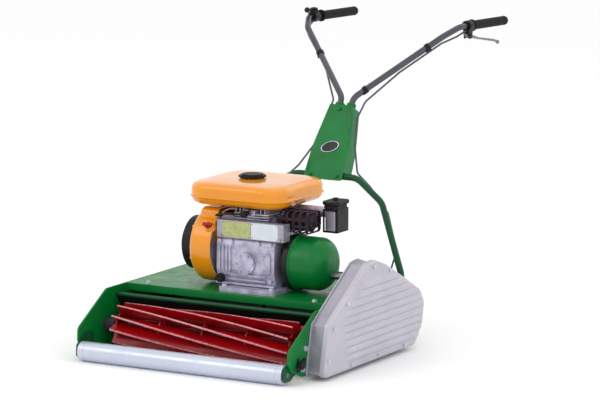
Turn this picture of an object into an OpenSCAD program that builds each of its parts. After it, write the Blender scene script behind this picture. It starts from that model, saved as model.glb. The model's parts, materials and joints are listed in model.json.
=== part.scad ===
/* [Machine] */
// Distance between the inner faces of the side plates
inner_w = 702; // [640:2:720]
// Thickness of each side plate
plate_t = 6; // [4:1:8]
// Height of the deck's top face above the ground
deck_z = 190; // [186:1:196]

/* [Rollers and reel] */
// Radius of the front roller
front_r = 29; // [28:1:36]
// Radius of the two-piece rear drive roller
drive_r = 88; // [70:1:90]
// Distance from the front roller axis back to the drive roller axis
drive_y = 548; // [520:1:570]
// Radius swept by the reel blades
reel_r = 68; // [60:1:68]
// Length of the reel blades
reel_l = 600; // [540:2:610]
// Distance from the front roller axis back to the reel axis
reel_y = 146; // [142:1:150]
// Height of the reel blades above the ground at rest
cut_h = 16; // [12:1:20]
// Number of helical blades
blade_n = 10; // [5:1:11]
// Angle that each blade turns through along the reel
blade_turn = 80; // [40:5:90]

/* [Engine] */
// Distance from the front roller axis back to the crankshaft
crank_y = 400; // [396:1:404]
// Height of the crankshaft above the ground
crank_z = 305; // [303:1:307]
// Radius of the round fan shroud
shroud_r = 110; // [104:1:112]
// Length of the fuel tank across the machine
tank_l = 326; // [290:2:330]
// Depth of the fuel tank
tank_d = 306; // [280:2:310]
// Height of the tank's side
tank_h = 68; // [60:1:72]

/* [Handle] */
// Lean of the arch and column behind the vertical
lean = 28; // [24:1:32]
// Diameter of the arch tube
arch_d = 20; // [18:1:26]
// Diameter of the handlebar tubes
bar_d = 19; // [18:1:24]
// Distance from the middle of the machine to each grip
grip_x = 268; // [230:2:290]
// Length of each grip
grip_l = 222; // [140:2:240]

/* [Hidden] */
$fn = 48;

// The parts are drawn from the middle of the front roller, at ground level. The part's origin is
// the middle of its footprint.
mid = [28, 741.75, 0];

green = [0.02, 0.45, 0.2];
dark_green = [0.02, 0.28, 0.14];
silver = [0.78, 0.78, 0.81];
steel = [0.5, 0.52, 0.55];
zinc = [0.85, 0.87, 0.92];
orange = [0.93, 0.6, 0.1];
black = [0.08, 0.08, 0.09];
red = [0.62, 0.08, 0.1];

in_x = inner_w / 2;
out_x = in_x + plate_t;
reel_z = reel_r + cut_h;

// Countershaft: below the crankshaft by the centre distance of the reduction gears
gear_m = 2.5;
pinion_n = 16;
gear_n = 31;
counter_z = crank_z - gear_m * (pinion_n + gear_n) / 2;

// Half-inch chain drives and the planes that they run in
chain_pitch = 12.7;
reel_drive_n = 20;
reel_n = 14;
roller_drive_n = 11;
roller_n = 30;
reel_chain_x = out_x + 18;
roller_chain_x = out_x + 36;
sprocket_t = 6;

shaft_r = 12.5;
running = 0.06;

// Chain case: outline on the machine's left side, as [y, z] with the ribbed cover outermost
case_pts = [[84, 10], [118, 158], [346, 302], [392, 306], [452, 285], [576, 223], [665, 175],
    [691, 134], [679, 73], [632, 12]];
case_round = [14, 10, 26, 26, 30, 40, 30, 26, 30, 34];
case_x0 = out_x;
case_x1 = out_x + 67;

// Foot of the arch, and the column's own frame at the top of the arch
foot = [in_x - arch_d / 2 - 1, 697, 192];
arch_rise = 303;
column_y = 824;
column_z = 463;

function unit(v) = v / norm(v);

// One rounded corner of an outline, from p0 through the corner p1 to p2
function corner(p0, p1, p2, r, n) = r == 0 ? [p1] : let(
        a = unit(p0 - p1),
        b = unit(p2 - p1),
        half = acos(a * b) / 2,
        c = p1 + unit(a + b) * r / sin(half),
        s = p1 + a * r / tan(half) - c,
        e = p1 + b * r / tan(half) - c,
        t0 = atan2(s.y, s.x),
        turn = atan2(e.y, e.x) - t0,
        sweep = turn > 180 ? turn - 360 : (turn < -180 ? turn + 360 : turn))
    [for (i = [0 : n]) c + r * [cos(t0 + sweep * i / n), sin(t0 + sweep * i / n)]];

// An outline with each corner rounded to its own radius
function rounded(p, r, n = 6) = [for (i = [0 : len(p) - 1])
    each corner(p[(i + len(p) - 1) % len(p)], p[i], p[(i + 1) % len(p)], r[i], n)];

function box_outline(x0, y0, x1, y1) = [[x0, y0], [x1, y0], [x1, y1], [x0, y1]];
function same(n, r) = [for (i = [1 : n]) r];

// Moves the machine's own coordinates to the part's origin
module in_frame() {
    translate(-mid)
        children();
}

// Straight prisms of a [y, z] outline, an [x, z] outline and an [x, y] outline
module prism_x(pts, x0, x1) {
    translate([x0, 0, 0])
        rotate([90, 0, 90])
            linear_extrude(x1 - x0)
                polygon(pts);
}

module prism_y(pts, y0, y1) {
    translate([0, y1, 0])
        rotate([90, 0, 0])
            linear_extrude(y1 - y0)
                polygon(pts);
}

module prism_z(pts, z0, z1) {
    translate([0, 0, z0])
        linear_extrude(z1 - z0)
            polygon(pts);
}

// Cylinders along each axis
module rod_x(r, x0, x1, y, z) {
    translate([x0, y, z])
        rotate([0, 90, 0])
            cylinder(r = r, h = x1 - x0);
}

module rod_y(r, y0, y1, x, z) {
    translate([x, y1, z])
        rotate([90, 0, 0])
            cylinder(r = r, h = y1 - y0);
}

module rod_z(r, z0, z1, x, y) {
    translate([x, y, z0])
        cylinder(r = r, h = z1 - z0);
}

module block(x0, y0, z0, x1, y1, z1) {
    translate([x0, y0, z0])
        cube([x1 - x0, y1 - y0, z1 - z0]);
}

// Turns +Z to the direction d at the point p
module aim(p, d) {
    translate(p)
        rotate([0, acos(d.z / norm(d)), atan2(d.y, d.x)])
            children();
}

// A straight rod between two points
module straight(p, q, r) {
    aim(p, q - p)
        cylinder(r = r, h = norm(q - p));
}

// The middle line through the points p, with a round bend of radius bend_r at each inner point
function bent_line(p, bend_r, step = 15) = concat([p[0]], [for (i = [1 : len(p) - 2]) each let(
        u = unit(p[i] - p[i - 1]),
        v = unit(p[i + 1] - p[i]),
        turn = acos(u * v),
        s = p[i] - u * bend_r * tan(turn / 2),
        n = unit(v - u * (u * v)),
        k = max(1, ceil(turn / step)))
    [for (j = [0 : k]) s + bend_r * (n * (1 - cos(turn * j / k)) + u * sin(turn * j / k))]],
    [p[len(p) - 1]]);

// Directions along a line, and a sideways vector at each point that turns as little as it can
function line_dirs(c) = [for (i = [0 : len(c) - 1])
    unit(c[min(i + 1, len(c) - 1)] - c[max(i - 1, 0)])];
function line_sides(t, first) = [for (i = 0, a = unit(first - t[0] * (first * t[0])); i < len(t);
    i = i + 1, a = i < len(t) ? unit(a - t[i] * (a * t[i])) : a) a];

// A rod, or a tube where bore is above 0, swept along the points p with round bends
module bent(p, r, bend_r, bore = 0, sides = 16, first = [1, 0.1, 0.2]) {
    c = bent_line(p, bend_r);
    t = line_dirs(c);
    a = line_sides(t, first);
    n = len(c);
    outer = [for (i = [0 : n - 1], k = [0 : sides - 1])
        c[i] + r * (a[i] * cos(360 * k / sides) + cross(t[i], a[i]) * sin(360 * k / sides))];
    inner = bore == 0 ? [] : [for (i = [0 : n - 1], k = [0 : sides - 1])
        c[i] + bore * (a[i] * cos(360 * k / sides) + cross(t[i], a[i]) * sin(360 * k / sides))];
    m = n * sides;
    walls = [for (i = [0 : n - 2], k = [0 : sides - 1]) let(k1 = (k + 1) % sides)
        [i * sides + k, i * sides + k1, (i + 1) * sides + k1, (i + 1) * sides + k]];
    ends = bore == 0
        ? [[for (k = [sides - 1 : -1 : 0]) k], [for (k = [0 : sides - 1]) m - sides + k]]
        : [for (k = [0 : sides - 1]) each let(k1 = (k + 1) % sides)
            [[k1, k, m + k, m + k1],
             [m - sides + k, m - sides + k1, 2 * m - sides + k1, 2 * m - sides + k]]];
    lining = bore == 0 ? [] : [for (f = walls) [for (j = [3 : -1 : 0]) f[j] + m]];
    polyhedron(concat(outer, inner), [for (f = concat(walls, ends, lining))
        [for (j = [len(f) - 1 : -1 : 0]) f[j]]]);
}

// Hexagon-headed bolt: the head sits on the point p and points along d
module bolt(p, d, size = 8, shank = 0) {
    aim(p, d) {
        cylinder(r = size * 1.05, h = 1.5);
        translate([0, 0, 1.5])
            cylinder(r = size * 0.92, h = size * 0.65, $fn = 6);
        if (shank > 0)
            translate([0, 0, -shank])
                cylinder(r = size / 2, h = shank);
    }
}

// ---------- Frame ----------

side_pts = [[-8, 60], [-6, 97], [148, deck_z], [706, deck_z], [712, 150], [655, 50], [480, 42],
    [240, 60], [178, 12], [70, 12], [8, 38]];
side_round = [8, 20, 34, 14, 30, 40, 60, 40, 22, 24, 20];
slot_y = 46;
slot_z = 52;
slot_half = 13;

module side_plate(x0) {
    difference() {
        prism_x(rounded(side_pts, side_round), x0, x0 + plate_t);
        rod_x(20.2, x0 - 1, x0 + plate_t + 1, reel_y, reel_z);
        rod_x(26.2, x0 - 1, x0 + plate_t + 1, drive_y, drive_r);
        hull()
            for (s = [-1, 1])
                rod_x(5.5, x0 - 1, x0 + plate_t + 1, slot_y, slot_z + s * slot_half);
    }
}

module side_plate_left() {
    color(green)
        in_frame()
            side_plate(in_x);
}

module side_plate_right() {
    color(green)
        in_frame()
            side_plate(-out_x);
}

deck_t = 4;
deck_y0 = 254;
deck_y1 = 640;

module deck_plate() {
    color(green)
        in_frame()
            union() {
                block(-in_x, deck_y0, deck_z - deck_t, in_x, deck_y1, deck_z);
                block(-in_x, deck_y0, deck_z - 22, in_x, deck_y0 + deck_t, deck_z - deck_t + 1);
                block(-in_x, deck_y1 - deck_t, deck_z - 18, in_x, deck_y1, deck_z - deck_t + 1);
                for (x0 = [-in_x, in_x - deck_t])
                    block(x0, deck_y0 + 1, deck_z - 30, x0 + deck_t, deck_y1 - 1, deck_z - 1);
            }
}

side_bolts = [[96, 52], [128, 26], [178, 150], [300, 172], [610, 172], [650, 150]];
front_bolts = [[70, 34], [88, 92]];
case_bolts = [[103, 60], [136, 146], [215, 205], [372, 288], [470, 263], [560, 24], [400, 24], [240, 24]];
deck_bolt_x = 284;
engine_bolt_x = [-32, 128];
engine_bolt_y = [290, 492];

// Bolts of the side plates, deck, engine and chain case cover. The chain case hides the bolts of the
// left plate behind its front edge.
module frame_bolts() {
    color(zinc)
        in_frame() {
            for (b = side_bolts)
                bolt([-out_x, b.x, b.y], [-1, 0, 0]);
            for (b = front_bolts)
                bolt([out_x, b.x, b.y], [1, 0, 0]);
            for (x = [-deck_bolt_x, deck_bolt_x])
                bolt([x, 270, deck_z], [0, 0, 1]);
            for (x = engine_bolt_x, y = engine_bolt_y)
                bolt([x, y, deck_z + 14], [0, 0, 1]);
            for (b = case_bolts)
                bolt([case_x1, b.x, b.y], [1, 0, 0], 6);
        }
}

// Curved sheet behind the reel, which throws the cuttings forward over it
defl_pts = [[219, 54], [226, 92], [216, 132], [201, 158]];

module deflector_plate() {
    color(black)
        in_frame()
            prism_x(rounded(concat(defl_pts, [for (i = [3 : -1 : 0]) defl_pts[i] + [2.6, 0.8]]),
                [0, 60, 60, 0, 0, 60, 60, 0], 5), -in_x, in_x);
}

module tie_bar() {
    color(dark_green)
        in_frame()
            rod_x(6, -in_x, in_x, 199, 165);
}

module blade_carrier() {
    color(black)
        in_frame()
            prism_x([[181, 19], [208, 19], [230, 44], [228, 53], [217, 53]], -in_x, in_x);
}

module bottom_blade() {
    color(steel)
        in_frame()
            difference() {
                prism_x([[163, 13.5], [206, 13.5], [206, 19], [170, 19], [163, 16]], -in_x + 2, in_x - 2);
                for (i = [-4 : 4])
                    rod_z(3.2, 12, 20, i * 74, 194);
            }
}

// Flanged bearing housings in the side plates, for the reel and the drive roller
module housing(s, y, z, r, bore, inboard) {
    difference() {
        union() {
            rod_x(r, s > 0 ? in_x - inboard : -out_x, s > 0 ? out_x : -in_x + inboard, y, z);
            rod_x(r + 16, s > 0 ? in_x - 7 : -out_x - 7, s > 0 ? in_x : -out_x, y, z);
            if (s < 0)
                rod_x(r - 1, -out_x - 17, -out_x - 6, y, z);
        }
        rod_x(bore + running, -out_x - 40 * (s > 0 ? 0 : 0.2), out_x + 40 * (s > 0 ? 0.2 : 0), y, z);
    }
}

module bearing_housings() {
    color(steel)
        in_frame()
            for (s = [-1, 1]) {
                housing(s, reel_y, reel_z, 20, shaft_r, 34);
                housing(s, drive_y, drive_r, 26, 15, 14);
            }
}

// ---------- Front roller and its height adjustment ----------

bracket_x0 = in_x - 6;
bracket_x1 = in_x - 0.6;
bracket_pts = [[-24, 20], [-22, 50], [20, 78], [64, 78], [70, 40], [40, 24], [14, 10], [-14, 10]];

module roller_brackets() {
    color(dark_green)
        in_frame()
            for (s = [-1, 1])
                difference() {
                    union() {
                        prism_x(rounded(bracket_pts, same(8, 9)), s > 0 ? bracket_x0 : -bracket_x1,
                            s > 0 ? bracket_x1 : -bracket_x0);
                        rod_x(5, s > 0 ? bracket_x0 + 1 : -out_x - 12, s > 0 ? out_x + 12 : -bracket_x0 - 1,
                            slot_y, slot_z);
                    }
                    rod_x(8, -in_x - 1, in_x + 1, 0, front_r);
                }
}

module front_roller_axle() {
    color(steel)
        in_frame()
            rod_x(8, -bracket_x1, bracket_x1, 0, front_r);
}

module front_roller() {
    color(zinc)
        in_frame()
            difference() {
                union() {
                    rod_x(front_r - 0.8, -bracket_x0 + 2, bracket_x0 - 2, 0, front_r);
                    for (s = [-1, 1])
                        rod_x(front_r, s > 0 ? bracket_x0 - 20 : -bracket_x0 + 2,
                            s > 0 ? bracket_x0 - 2 : -bracket_x0 + 20, 0, front_r);
                    rod_x(front_r, -bracket_x0 + 22, bracket_x0 - 22, 0, front_r);
                }
                rod_x(8 + running, -in_x, in_x, 0, front_r);
                rod_x(front_r - 4, -bracket_x0 + 14, bracket_x0 - 14, 0, front_r);
                for (s = [-1, 1])
                    translate([s * (bracket_x0 - 2), 0, front_r])
                        rotate([0, 90, 0])
                            difference() {
                                cylinder(r = front_r - 7, h = 8, center = true);
                                cylinder(r = 15, h = 9, center = true);
                            }
            }
}

// Two-winged clamp nut outside each side plate, on the stud of the roller bracket
module wing_knob(s) {
    difference() {
        union() {
            rod_x(12, s > 0 ? out_x + 1 : -out_x - 17, s > 0 ? out_x + 17 : -out_x - 1, slot_y, slot_z);
            for (a = [0, 180])
                translate([s * (out_x + 11), slot_y, slot_z])
                    rotate([a + 30, 0, 0])
                        translate([-3, 0, 0])
                            rotate([90, 0, 90])
                                linear_extrude(6)
                                    polygon(rounded([[4, -8], [24, -5], [30, 9], [10, 8]], [2, 6, 6, 2]));
        }
        rod_x(5 + running, s > 0 ? out_x : -out_x - 12.3, s > 0 ? out_x + 12.3 : -out_x, slot_y, slot_z);
    }
}

module wing_knob_left() {
    color(black)
        in_frame()
            wing_knob(1);
}

module wing_knob_right() {
    color(black)
        in_frame()
            wing_knob(-1);
}

// ---------- Reel ----------

function sprocket_r(n) = chain_pitch / (2 * sin(180 / n));

// Toothed plate for a half-inch chain
module sprocket(n) {
    pr = sprocket_r(n);
    difference() {
        cylinder(r = pr + 3.2, h = sprocket_t, center = true);
        for (i = [0 : n - 1])
            rotate(i * 360 / n)
                translate([pr + 1.2, 0, 0])
                    cylinder(r = 4.4, h = sprocket_t + 2, center = true, $fn = 12);
    }
}

module sprocket_on(n, x, y, z, hub, bore) {
    translate([x, y, z])
        rotate([0, 90, 0])
            difference() {
                union() {
                    sprocket(n);
                    translate([0, 0, -sprocket_t / 2 - 4])
                        cylinder(r = hub, h = sprocket_t + 8);
                }
                cylinder(r = bore, h = 40, center = true);
            }
}

module reel_shaft() {
    color(steel)
        in_frame()
            union() {
                rod_x(shaft_r, -out_x - 4, reel_chain_x + 12, reel_y, reel_z);
                sprocket_on(reel_n, reel_chain_x, reel_y, reel_z, 18, shaft_r - 2);
            }
}

disc_n = 5;
disc_r = reel_r - 26;

module reel_discs() {
    color(red)
        in_frame()
            for (i = [0 : disc_n - 1])
                translate([-reel_l / 2 + 6 + i * (reel_l - 12) / (disc_n - 1), reel_y, reel_z])
                    rotate([0, 90, 0])
                        difference() {
                            union() {
                                cylinder(r = disc_r, h = 5, center = true);
                                cylinder(r = 18, h = 12, center = true);
                            }
                            cylinder(r = shaft_r, h = 20, center = true);
                            for (a = [0 : 60 : 300])
                                rotate(a + 30)
                                    translate([29, 0, 0])
                                        cylinder(r = 6.5, h = 20, center = true);
                        }
}

// Each blade is a bar that leans back from the turn and twists along the reel
blade_in = disc_r - 15;

module reel_blades() {
    color(red)
        in_frame()
            translate([-reel_l / 2, reel_y, reel_z])
                rotate([90, 0, 90])
                    for (i = [0 : blade_n - 1])
                        linear_extrude(reel_l, twist = -blade_turn, slices = 24, segments = 5)
                            rotate(i * 360 / blade_n)
                                polygon([[blade_in, -15], [reel_r - 3, -2], [reel_r - 0.1, 1],
                                    [reel_r - 1, 5], [blade_in, -8]]);
}

// ---------- Drive roller ----------

module drive_half(x0, x1) {
    difference() {
        rod_x(drive_r, x0, x1, drive_y, drive_r);
        rod_x(drive_r - 5, x0 + 8, x1 - 8, drive_y, drive_r);
        rod_x(15 + (x0 < 0 ? running : 0), x0 - 1, x1 + 1, drive_y, drive_r);
        for (x = [x0, x1], a = [0 : 60 : 300])
            translate([x, drive_y, drive_r])
                rotate([a, 0, 0])
                    translate([0, 0, 52])
                        rotate([0, 90, 0])
                            cylinder(r = 15, h = 20, center = true);
    }
}

module drive_roller_left() {
    color(steel)
        in_frame()
            drive_half(4, in_x - 16);
}

module drive_roller_right() {
    color(steel)
        in_frame()
            drive_half(-in_x + 16, -4);
}

module drive_axle() {
    color(steel)
        in_frame()
            union() {
                rod_x(15, -out_x - 4, roller_chain_x + 12, drive_y, drive_r);
                sprocket_on(roller_n, roller_chain_x, drive_y, drive_r, 24, 12);
            }
}

// ---------- Countershaft, chains and chain case ----------

module countershaft() {
    color(steel)
        in_frame()
            union() {
                rod_x(shaft_r, 148, roller_chain_x + 12, crank_y, counter_z);
                sprocket_on(reel_drive_n, reel_chain_x, crank_y, counter_z, 20, 10);
                sprocket_on(roller_drive_n, roller_chain_x, crank_y, counter_z, 15.5, 10);
            }
}

// Involute gear outline: each flank is a short run of points on the involute of the base circle
function inv_pt(rb, t) = rb * [cos(t) + t * PI / 180 * sin(t), sin(t) - t * PI / 180 * cos(t)];
function turn_pt(p, a) = [p.x * cos(a) - p.y * sin(a), p.x * sin(a) + p.y * cos(a)];
function flank(n, m, steps) = let(rp = n * m / 2, rb = rp * cos(20), ro = rp + m * 0.95,
        t1 = sqrt(ro * ro / (rb * rb) - 1) * 180 / PI)
    [for (i = [0 : steps]) inv_pt(rb, t1 * i / steps)];
function gear_outline(n, m, slack = 0.35) = let(rp = n * m / 2, rb = rp * cos(20),
        tp = tan(20) * 180 / PI,
        lead = tp - 20,
        half = 90 / n - slack / rp * 90 / PI + lead,
        f = flank(n, m, 5),
        root = rp - m * 1.25)
    [for (i = [0 : n - 1]) let(a = i * 360 / n) each concat(
        [turn_pt([min(root, rb - 0.2), 0], a - half)],
        [for (p = f) turn_pt(p, a - half)],
        [for (k = [len(f) - 1 : -1 : 0]) turn_pt([f[k].x, -f[k].y], a + half)],
        [turn_pt([min(root, rb - 0.2), 0], a + half)])];

gear_x0 = 168;
gear_x1 = 186;

// The gear is keyed on so that a tooth space faces the pinion's tooth at rest
module reduction_gear() {
    color(steel)
        in_frame()
            difference() {
                translate([gear_x0, crank_y, counter_z])
                    rotate([90, 0, 90])
                        linear_extrude(gear_x1 - gear_x0)
                            rotate(90 + 180 / gear_n)
                                polygon(gear_outline(gear_n, gear_m));
                rod_x(shaft_r, gear_x0 - 1, gear_x1 + 1, crank_y, counter_z);
            }
}

module countershaft_bearing() {
    color(steel)
        in_frame()
            difference() {
                union() {
                    rod_x(24, case_x0 - 30, case_x0, crank_y, counter_z);
                    rod_x(36, case_x0 - 7, case_x0, crank_y, counter_z);
                }
                rod_x(shaft_r + running, case_x0 - 31, case_x0 + 1, crank_y, counter_z);
            }
}

// Tangent outline round two circles, used for the side plates of a chain
function tangent(c0, r0, c1, r1) = let(d = norm(c1 - c0), a = atan2(c1.y - c0.y, c1.x - c0.x),
        b = acos((r0 - r1) / d))
    [c0 + r0 * [cos(a + b), sin(a + b)], c0 + r0 * [cos(a - b), sin(a - b)],
     c1 + r1 * [cos(a - b), sin(a - b)], c1 + r1 * [cos(a + b), sin(a + b)]];

module belt_outline(c0, r0, c1, r1) {
    union() {
        translate(c0)
            circle(r = r0);
        translate(c1)
            circle(r = r1);
        polygon(tangent(c0, r0, c1, r1));
    }
}

// A roller chain: two link bands beside the sprockets, with rollers across the straight runs
module chain(c0, n0, c1, n1, x) {
    r0 = sprocket_r(n0);
    r1 = sprocket_r(n1);
    link_h = 5;
    gap = sprocket_t / 2 + 1;
    runs = tangent(c0, r0, c1, r1);
    for (s = [-1, 1])
        translate([x + (s > 0 ? gap : -gap - 2), 0, 0])
            rotate([90, 0, 90])
                linear_extrude(2)
                    difference() {
                        belt_outline(c0, r0 + link_h, c1, r1 + link_h);
                        belt_outline(c0, r0 - link_h, c1, r1 - link_h);
                    }
    for (run = [[runs[0], runs[3]], [runs[1], runs[2]]]) {
        span = norm(run[1] - run[0]);
        count = floor(span / chain_pitch) - 3;
        for (i = [3 : count]) {
            p = run[0] + (run[1] - run[0]) * (i * chain_pitch) / span;
            rod_x(3.8, x - gap - 0.5, x + gap + 0.5, p.x, p.y);
        }
    }
}

module reel_chain() {
    color(black)
        in_frame()
            chain([crank_y, counter_z], reel_drive_n, [reel_y, reel_z], reel_n, reel_chain_x);
}

module roller_chain() {
    color(black)
        in_frame()
            chain([drive_y, drive_r], roller_n, [crank_y, counter_z], roller_drive_n, roller_chain_x);
}

module case_back_holes(x0, x1) {
    rod_x(20.2, x0, x1, reel_y, reel_z);
    rod_x(26.2, x0, x1, drive_y, drive_r);
    rod_x(14, x0, x1, crank_y, counter_z);
}

module chain_case_back() {
    color(silver)
        in_frame()
            difference() {
                prism_x(rounded(case_pts, case_round), case_x0, case_x0 + 4);
                case_back_holes(case_x0 - 1, case_x0 + 5);
            }
}

// The case's wall stands a little inside the bright edges of its back and its cover
module chain_case_wall() {
    color(black)
        in_frame()
            translate([case_x0 + 4, 0, 0])
                rotate([90, 0, 90])
                    linear_extrude(case_x1 - case_x0 - 7.3)
                        difference() {
                            offset(delta = -5)
                                polygon(rounded(case_pts, case_round));
                            offset(delta = -8)
                                polygon(rounded(case_pts, case_round));
                        }
}

rib_n = 10;
rib_z0 = 44;
rib_pitch = 22;
rib_r = 9;
rib_proud = 6;

// Height of the cover's rear edge and front edge at a rib, from the case outline
function edge_y(z, i) = let(p = case_pts[i], q = case_pts[i + 1]) p.x + (q.x - p.x) * (z - p.y) / (q.y - p.y);
function rear_y(z) = z > 223 ? edge_y(z, 4)
    : (z > 175 ? edge_y(z, 5)
    : (z > 134 ? edge_y(z, 6)
    : (z > 73 ? edge_y(z, 7) : edge_y(z, 8))));
function front_y(z) = z > 158 ? edge_y(z, 1) + 46 : 215 - (z - 34) * 0.25;

module chain_case_cover() {
    x0 = case_x1 - 22;
    color(silver)
        in_frame()
            union() {
                difference() {
                    prism_x(rounded(case_pts, case_round), x0, case_x1);
                    translate([x0 - 1, 0, 0])
                        rotate([90, 0, 90])
                            linear_extrude(case_x1 - x0 - 2)
                                offset(delta = -3)
                                    polygon(rounded(case_pts, case_round));
                }
                for (i = [0 : rib_n - 1])
                    let(z = rib_z0 + i * rib_pitch)
                        intersection() {
                            rod_y(rib_r, front_y(z), rear_y(z) - 6, case_x1 - rib_r + rib_proud, z);
                            block(case_x1 - 1, 0, z - 20, case_x1 + 20, 800, z + 20);
                        }
            }
}

// ---------- Clutch and reduction drive ----------

dome_z = (crank_z + counter_z) / 2;
dome_r = 79;
dome_x0 = 163;
dome_x1 = 272;

module clutch_backplate() {
    color(black)
        in_frame()
            difference() {
                union() {
                    rod_x(dome_r + 5, 145, dome_x0, crank_y, dome_z);
                    rod_x(46, 124, 146, crank_y, crank_z);
                    block(128, crank_y - 40, deck_z + 14, 162, crank_y + 40, dome_z);
                }
                rod_x(shaft_r + running, 120, dome_x0 + 1, crank_y, crank_z);
                rod_x(shaft_r + running, 147, dome_x0 + 1, crank_y, counter_z);
            }
}

// Domed shell with a turned rim and a flatter crown, and a hole for the countershaft
function dome_arc(r, x, cx, cr) = [for (a = [0 : 10 : 90]) [r - cr + cr * cos(a), x - cx + cx * sin(a)]];

module clutch_cover() {
    h = dome_x1 - dome_x0;
    color(green)
        in_frame()
            difference() {
                translate([dome_x0, crank_y, dome_z])
                    rotate([0, 90, 0])
                        rotate_extrude()
                            polygon(concat([[0, h - 3], [0, h]], [for (k = [9 : -1 : 0])
                                    dome_arc(dome_r, h, 46, 52)[k]],
                                [[dome_r, 4], [dome_r + 4, 4], [dome_r + 4, 0], [dome_r - 3, 0]],
                                dome_arc(dome_r - 3, h - 3, 44, 50)));
                rod_x(15, dome_x0, dome_x1 + 1, crank_y, counter_z);
            }
}

// Drum of the centrifugal clutch, with the pinion on its boss
module clutch_drum() {
    color(steel)
        in_frame()
            difference() {
                union() {
                    translate([gear_x0, crank_y, crank_z])
                        rotate([90, 0, 90])
                            linear_extrude(22)
                                rotate(-90)
                                    polygon(gear_outline(pinion_n, gear_m));
                    rod_x(41, 190, 228, crank_y, crank_z);
                }
                rod_x(37, 194, 229, crank_y, crank_z);
                rod_x(shaft_r + running, 160, 230, crank_y, crank_z);
            }
}

// Crankshaft with its webs, crank pin and the clutch's hub and shoes on the drive end
module crankshaft() {
    color(steel)
        in_frame()
            union() {
                rod_x(shaft_r, -178, 12, crank_y, crank_z);
                rod_x(shaft_r, 40, 232, crank_y, crank_z);
                for (x0 = [-2, 38])
                    prism_x(rounded([for (p = box_outline(-24, -40, 24, 36)) p + [crank_y, crank_z]],
                        same(4, 10)), x0, x0 + 14);
                rod_x(11, 0, 50, crank_y, crank_z + 22);
                rod_x(20, 196, 226, crank_y, crank_z);
                for (a = [0, 120, 240])
                    translate([0, crank_y, crank_z])
                        rotate([a, 0, 0])
                            translate([0, -crank_y, -crank_z])
                                intersection() {
                                    difference() {
                                        rod_x(35, 198, 224, crank_y, crank_z);
                                        rod_x(18, 190, 230, crank_y, crank_z);
                                    }
                                    block(190, crank_y - 24, crank_z + 4, 230, crank_y + 24, crank_z + 50);
                                }
            }
}

// Flywheel with cooling vanes
module flywheel() {
    color(steel)
        in_frame()
            difference() {
                union() {
                    rod_x(92, -110, -92, crank_y, crank_z);
                    rod_x(24, -140, -84, crank_y, crank_z);
                    for (a = [0 : 30 : 330])
                        translate([-134, crank_y, crank_z])
                            rotate([a, 0, 0])
                                block(0, 44, -2, 25, 90, 2);
                }
                rod_x(shaft_r, -180, -80, crank_y, crank_z);
            }
}

// ---------- Engine block ----------

case_w0 = -72;
case_w1 = 124;

module crankcase() {
    color(silver)
        in_frame()
            difference() {
                union() {
                    prism_z(rounded(box_outline(-48, 274, 144, 508), same(4, 16)), deck_z, deck_z + 14);
                    prism_x(rounded([[322, 204], [478, 204], [488, 250], [486, 330], [462, 362],
                        [338, 362], [314, 330], [312, 250]], same(8, 12)), case_w0, case_w1);
                    rod_x(60, case_w0 - 8, case_w0 + 2, crank_y, crank_z);
                    rod_y(34, 304, 330, 26, 272);
                    rod_y(12, 300, 321, -48, 226);
                    for (x = [-60, -20, 72, 112])
                        rod_y(6, 307, 330, x, 334);
                    for (x = [-58, 112])
                        rod_y(7, 305, 330, x, 226);
                    for (z = [222, 236])
                        block(-40, 306, z, 96, 330, z + 4);
                    for (x = [-62, -50, -38, -26])
                        block(x, 308, 246, x + 4, 330, 322);
                    prism_y(rounded(box_outline(68, 248, 112, 306), same(4, 8)), 307, 330);
                    block(case_w0, 308, 207, case_w1, 330, 213);
                    for (a = [0 : 60 : 300])
                        bolt([26 + 27 * cos(a), 304, 272 + 27 * sin(a)], [0, -1, 0], 5);
                    for (z = [256, 298])
                        bolt([90, 307, z], [0, -1, 0], 5);
                }
                rod_x(shaft_r + running, case_w0 - 20, case_w1 + 1, crank_y, crank_z);
                prism_x(rounded([[330, 212], [470, 212], [480, 252], [478, 326], [458, 354], [342, 354],
                    [322, 326], [320, 252]], same(8, 10)), case_w0 + 8, case_w1 - 8);
                rod_z(30, 300, 363, 25, crank_y);
                rod_y(7, 299, 320, -48, 226);
                for (x = engine_bolt_x, y = engine_bolt_y)
                    rod_z(4.5, deck_z - 1, deck_z + 15, x, y);
            }
}

module oil_plug() {
    color(black)
        in_frame()
            union() {
                rod_y(6.9, 299.5, 318, -48, 226);
                rod_y(14, 290, 300, -48, 226);
                block(-60, 280, 222.5, -36, 291, 229.5);
            }
}

cyl_x0 = -36;
cyl_x1 = 86;
cyl_y0 = 342;
cyl_y1 = 458;

module cylinder_block() {
    color(silver)
        in_frame()
            difference() {
                union() {
                    rod_z(48, 362, 412, 25, crank_y);
                    for (z = [366 : 8 : 406])
                        prism_z(rounded(box_outline(cyl_x0, cyl_y0, cyl_x1, cyl_y1), same(4, 14)), z, z + 3);
                    block(60, crank_y - 22, 374, 92, crank_y + 22, 404);
                    block(8, 440, 374, 54, 464, 404);
                }
                rod_z(30, 361, 413, 25, crank_y);
            }
}

module cylinder_head() {
    color(silver)
        in_frame()
            difference() {
                union() {
                    prism_z(rounded(box_outline(cyl_x0, cyl_y0, cyl_x1, cyl_y1), same(4, 16)), 412, 417);
                    for (i = [0 : 7])
                        block(cyl_x0 + 8 + i * 14, cyl_y0 + 6, 416, cyl_x0 + 11 + i * 14, cyl_y1 - 6, 429);
                    block(4, cyl_y0 - 8, 412, 46, cyl_y0 + 20, 428);
                }
                rod_y(7, cyl_y0 - 10, cyl_y0 + 8, 25, 420);
            }
}

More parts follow.
